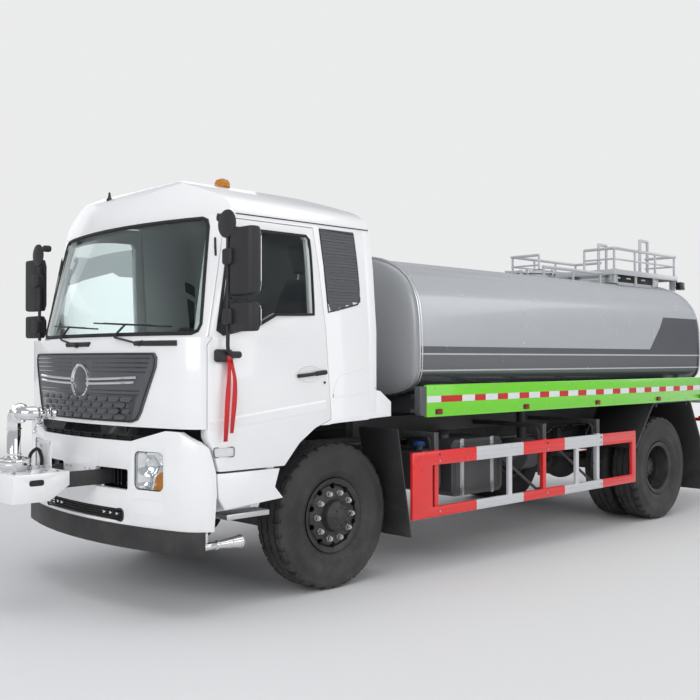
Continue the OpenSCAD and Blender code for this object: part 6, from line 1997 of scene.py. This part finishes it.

# %% Rear wall lining, dark as painted shade
# A dark grey sheet with two dark strips covers the white inner rear wall: painted shade that darkens the view through
# the windows.
bm = bmesh.new()
box(bm, (FRONT - 0.2595, -1.10, 1.32), (FRONT - 0.251, 1.10, 2.56), 0)
for y in (-0.37, 0.37):
    box(bm, (FRONT - 0.2515, y - 0.004, 1.34), (FRONT - 0.249, y + 0.004, 2.54), 1)
make("rear_wall_shade_lining", bm, [interior_grey, trim_black], "cab", "interior_grey", bevel=0.004)
# %% [markdown]
# ## The water monitor
# Polished steel shows every joint: clamp rings on the turning bowl, raised
# bands where pipes are welded to the bends, a hand knob on the swivel and a
# lipped muzzle. A small plate stands behind the bowl.

# %% Rings, knob, muzzle
MX, MY = FRONT + 1.90, 0.0
tilt_at = joint_at["monitor_pitch"]
bm = bmesh.new()
for z, r, half in ((0.954, 0.105, 0.006), (0.988, 0.105, 0.006), (1.02, 0.045, 0.010), (1.19, 0.045, 0.008)):
    lathe(bm, [(r - 0.003, -half), (r + 0.005, -half * 0.6), (r + 0.005, half * 0.6), (r - 0.003, half)],
        (MX, MY, z), "Z", 56)
for k in range(8):
    a = radians(45 * k + 22)
    rod(bm, (MX + cos(a) * 0.080, sin(a) * 0.080, 0.990), (MX + cos(a) * 0.080, sin(a) * 0.080, 1.000), 0.009, 0.009,
        6)
lathe(bm, [(0.0455, 0.991), (0.066, 0.991), (0.062, 0.998), (0.0455, 1.008)], (MX, MY, 0), "Z", 48)
lathe(bm, [(0.060, -0.005), (0.066, -0.003), (0.066, 0.003), (0.060, 0.005)], (MX, tilt_at.y - 0.008, tilt_at.z),
    "Y", 48)
make("monitor_rings", bm, chrome, "monitor_elbow", "chrome")
bm = bmesh.new()
low_b, high_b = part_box("monitor_barrel")
by = high_b[1] - 0.036
mz = low_b[0]
for x, r, half in ((mz + 0.014, 0.0365, 0.013), (mz + 0.060, 0.0365, 0.005), (mz + 0.105, 0.0365, 0.006)):
    lathe(bm, [(r - 0.004, -half), (r + 0.004, -half * 0.8), (r + 0.004, half * 0.8), (r - 0.004, half)],
        (x, by, tilt_at.z), "X", 48)
lathe(bm, [(CORE, 0.0), (0.026, 0.0), (0.026, -0.0004), (CORE, -0.0004)], (mz - 0.0002, by, tilt_at.z), "X", 40, 1)
lathe(bm, [(0.060, -0.004), (0.066, -0.002), (0.066, 0.003), (0.060, 0.005)], (MX, low_b[1] + 0.009, tilt_at.z), "Y",
    48)
make("monitor_muzzle", bm, [chrome, rubber], "monitor_barrel", "chrome")
bm = bmesh.new()
rod(bm, (mz + 0.082, by, tilt_at.z - 0.034), (mz + 0.082, by, tilt_at.z - 0.062), 0.007, 0.007, 12, 0)
tube(bm, [(mz + 0.082, by, tilt_at.z - 0.058), (mz + 0.120, by, tilt_at.z - 0.075),
    (mz + 0.135, by, tilt_at.z - 0.112)], 0.009, 0.02, 12, 0)
bmesh.ops.create_icosphere(bm, subdivisions=2, radius=0.014,
    matrix=Matrix.Translation((mz + 0.137, by, tilt_at.z - 0.118)))
make("monitor_lever", bm, chrome, "monitor_barrel", "chrome")
print("monitor rings ready")

# %% Bracket: bolts, slot rims, the short feed bend, plate
bm = bmesh.new()
top = 0.910
for x, y in ((MX - 0.15, 0.15), (MX - 0.15, -0.15), (MX + 0.08, 0.17), (MX + 0.08, -0.17), (FRONT + 1.70, 0.22),
    (FRONT + 1.70, -0.22)):
    rod(bm, (x, y, top), (x, y, top + 0.002), 0.018, 0.018, 20)
    rod(bm, (x, y, top + 0.002), (x, y, top + 0.011), 0.011, 0.011, 6)
make("bracket_bolts", bm, steel, "chassis", "steel_bright", bevel=0.001)
bracket_low, bracket_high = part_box("monitor_bracket")
bm = bmesh.new()
for y in (bracket_high[1] + 0.0005, bracket_low[1] - 0.0005):
    box(bm, (FRONT + 1.827, y - 0.0008, 0.837), (FRONT + 1.913, y + 0.0002, 0.863))
    tube(bm, [(FRONT + 1.87 + sx * 0.047, y, 0.85 + sz * 0.016) for sx, sz in ((-1, -1), (1, -1), (1, 1), (-1, 1))],
        0.0035, 0.014, 8, closed=True)
make("bracket_slot_rims", bm, rubber, "chassis", "chassis_black")
bm = bmesh.new()
tube(bm, [(FRONT + 1.780, -0.02, 0.912), (FRONT + 1.780, -0.02, 1.010), (FRONT + 1.715, -0.03, 1.055),
    (FRONT + 1.685, -0.03, 0.980), (FRONT + 1.690, -0.03, 0.912)], 0.012, 0.045, 16, 0)
for x, y in ((FRONT + 1.780, -0.02), (FRONT + 1.690, -0.03)):
    rod(bm, (x, y, 0.9105), (x, y, 0.930), 0.018, 0.018, 6, 1)
make("monitor_feed", bm, [rubber, steel], "chassis", "chassis_black", bevel=0.001)
bm = bmesh.new()
x = FRONT + 1.6665
for k in range(4):
    z = 0.945 + k * 0.038
    rod(bm, (x, -0.085, z), (x + 0.006, -0.085, z), 0.013, 0.012, 24, 0)
box(bm, (x - 0.0005, -0.055, 0.935), (x + 0.003, 0.045, 1.075), 1)
for y, z in ((-0.135, 0.925), (-0.135, 1.085), (0.05, 0.925), (0.05, 1.085)):
    rod(bm, (x, y, z), (x + 0.005, y, z), 0.007, 0.007, 6, 0)
make("monitor_plate", bm, [steel, light_paint], "chassis", "steel_bright", bevel=0.001)
print(piece_count, "pieces with the monitor's")

# %% [markdown]
# ## A ribbon on the mirror's foot
# A new truck is handed over with a red ribbon tied to it. Two strips of thin
# satin hang from a knot, and swing with the door.

# %% Ribbon
RIBBONS = {
    "ribbon_long": [(1.050, 1.2235, 1.655), (1.056, 1.234, 1.56), (1.072, 1.238, 1.39), (1.088, 1.238, 1.13)],
    "ribbon_short": [(1.040, 1.2235, 1.650), (1.006, 1.230, 1.53), (1.012, 1.232, 1.39), (1.034, 1.231, 1.18)],
}
satin = finish("ribbon_satin", (0.62, 0.010, 0.014), 0.35, spread=0.12, grain_scale=300, bump=0.15,
    bump_depth=0.0003, dust_amount=0)
for name, path in RIBBONS.items():
    bm = bmesh.new()
    points = rounded_path([Vector((FRONT + x, y, z)) for x, y, z in path], 0.05)
    run, rows = 0.0, []
    for k, p in enumerate(points):
        run += (p - points[k - 1]).length if k else 0
        a = radians(16 * sin(run * 17) + 10)
        across = Vector((cos(a), sin(a) * 0.5, 0)) * 0.019
        rows.append([bm.verts.new(p + across * s) for s in (-1, -0.5, 0, 0.5, 1)])
    for low, high in zip(rows, rows[1:]):
        for i in range(4):
            bm.faces.new((low[i], low[i + 1], high[i + 1], high[i]))
    strip = make(name, bm, satin, "door_left", "guard_red", normals=True)
    thick = strip.modifiers.new("cloth", "SOLIDIFY")
    thick.thickness, thick.offset = 0.0006, 0
bm = bmesh.new()
knot = Vector((FRONT + RIBBONS["ribbon_long"][0][0], RIBBONS["ribbon_long"][0][1],
    RIBBONS["ribbon_long"][0][2] + 0.004))
bmesh.ops.create_icosphere(bm, subdivisions=3, radius=0.019,
    matrix=Matrix.Translation(knot) @ Matrix.Diagonal((1.0, 0.8, 1.2, 1)))
make("ribbon_knot", bm, satin, "door_left", "guard_red")
print("ribbon ready")
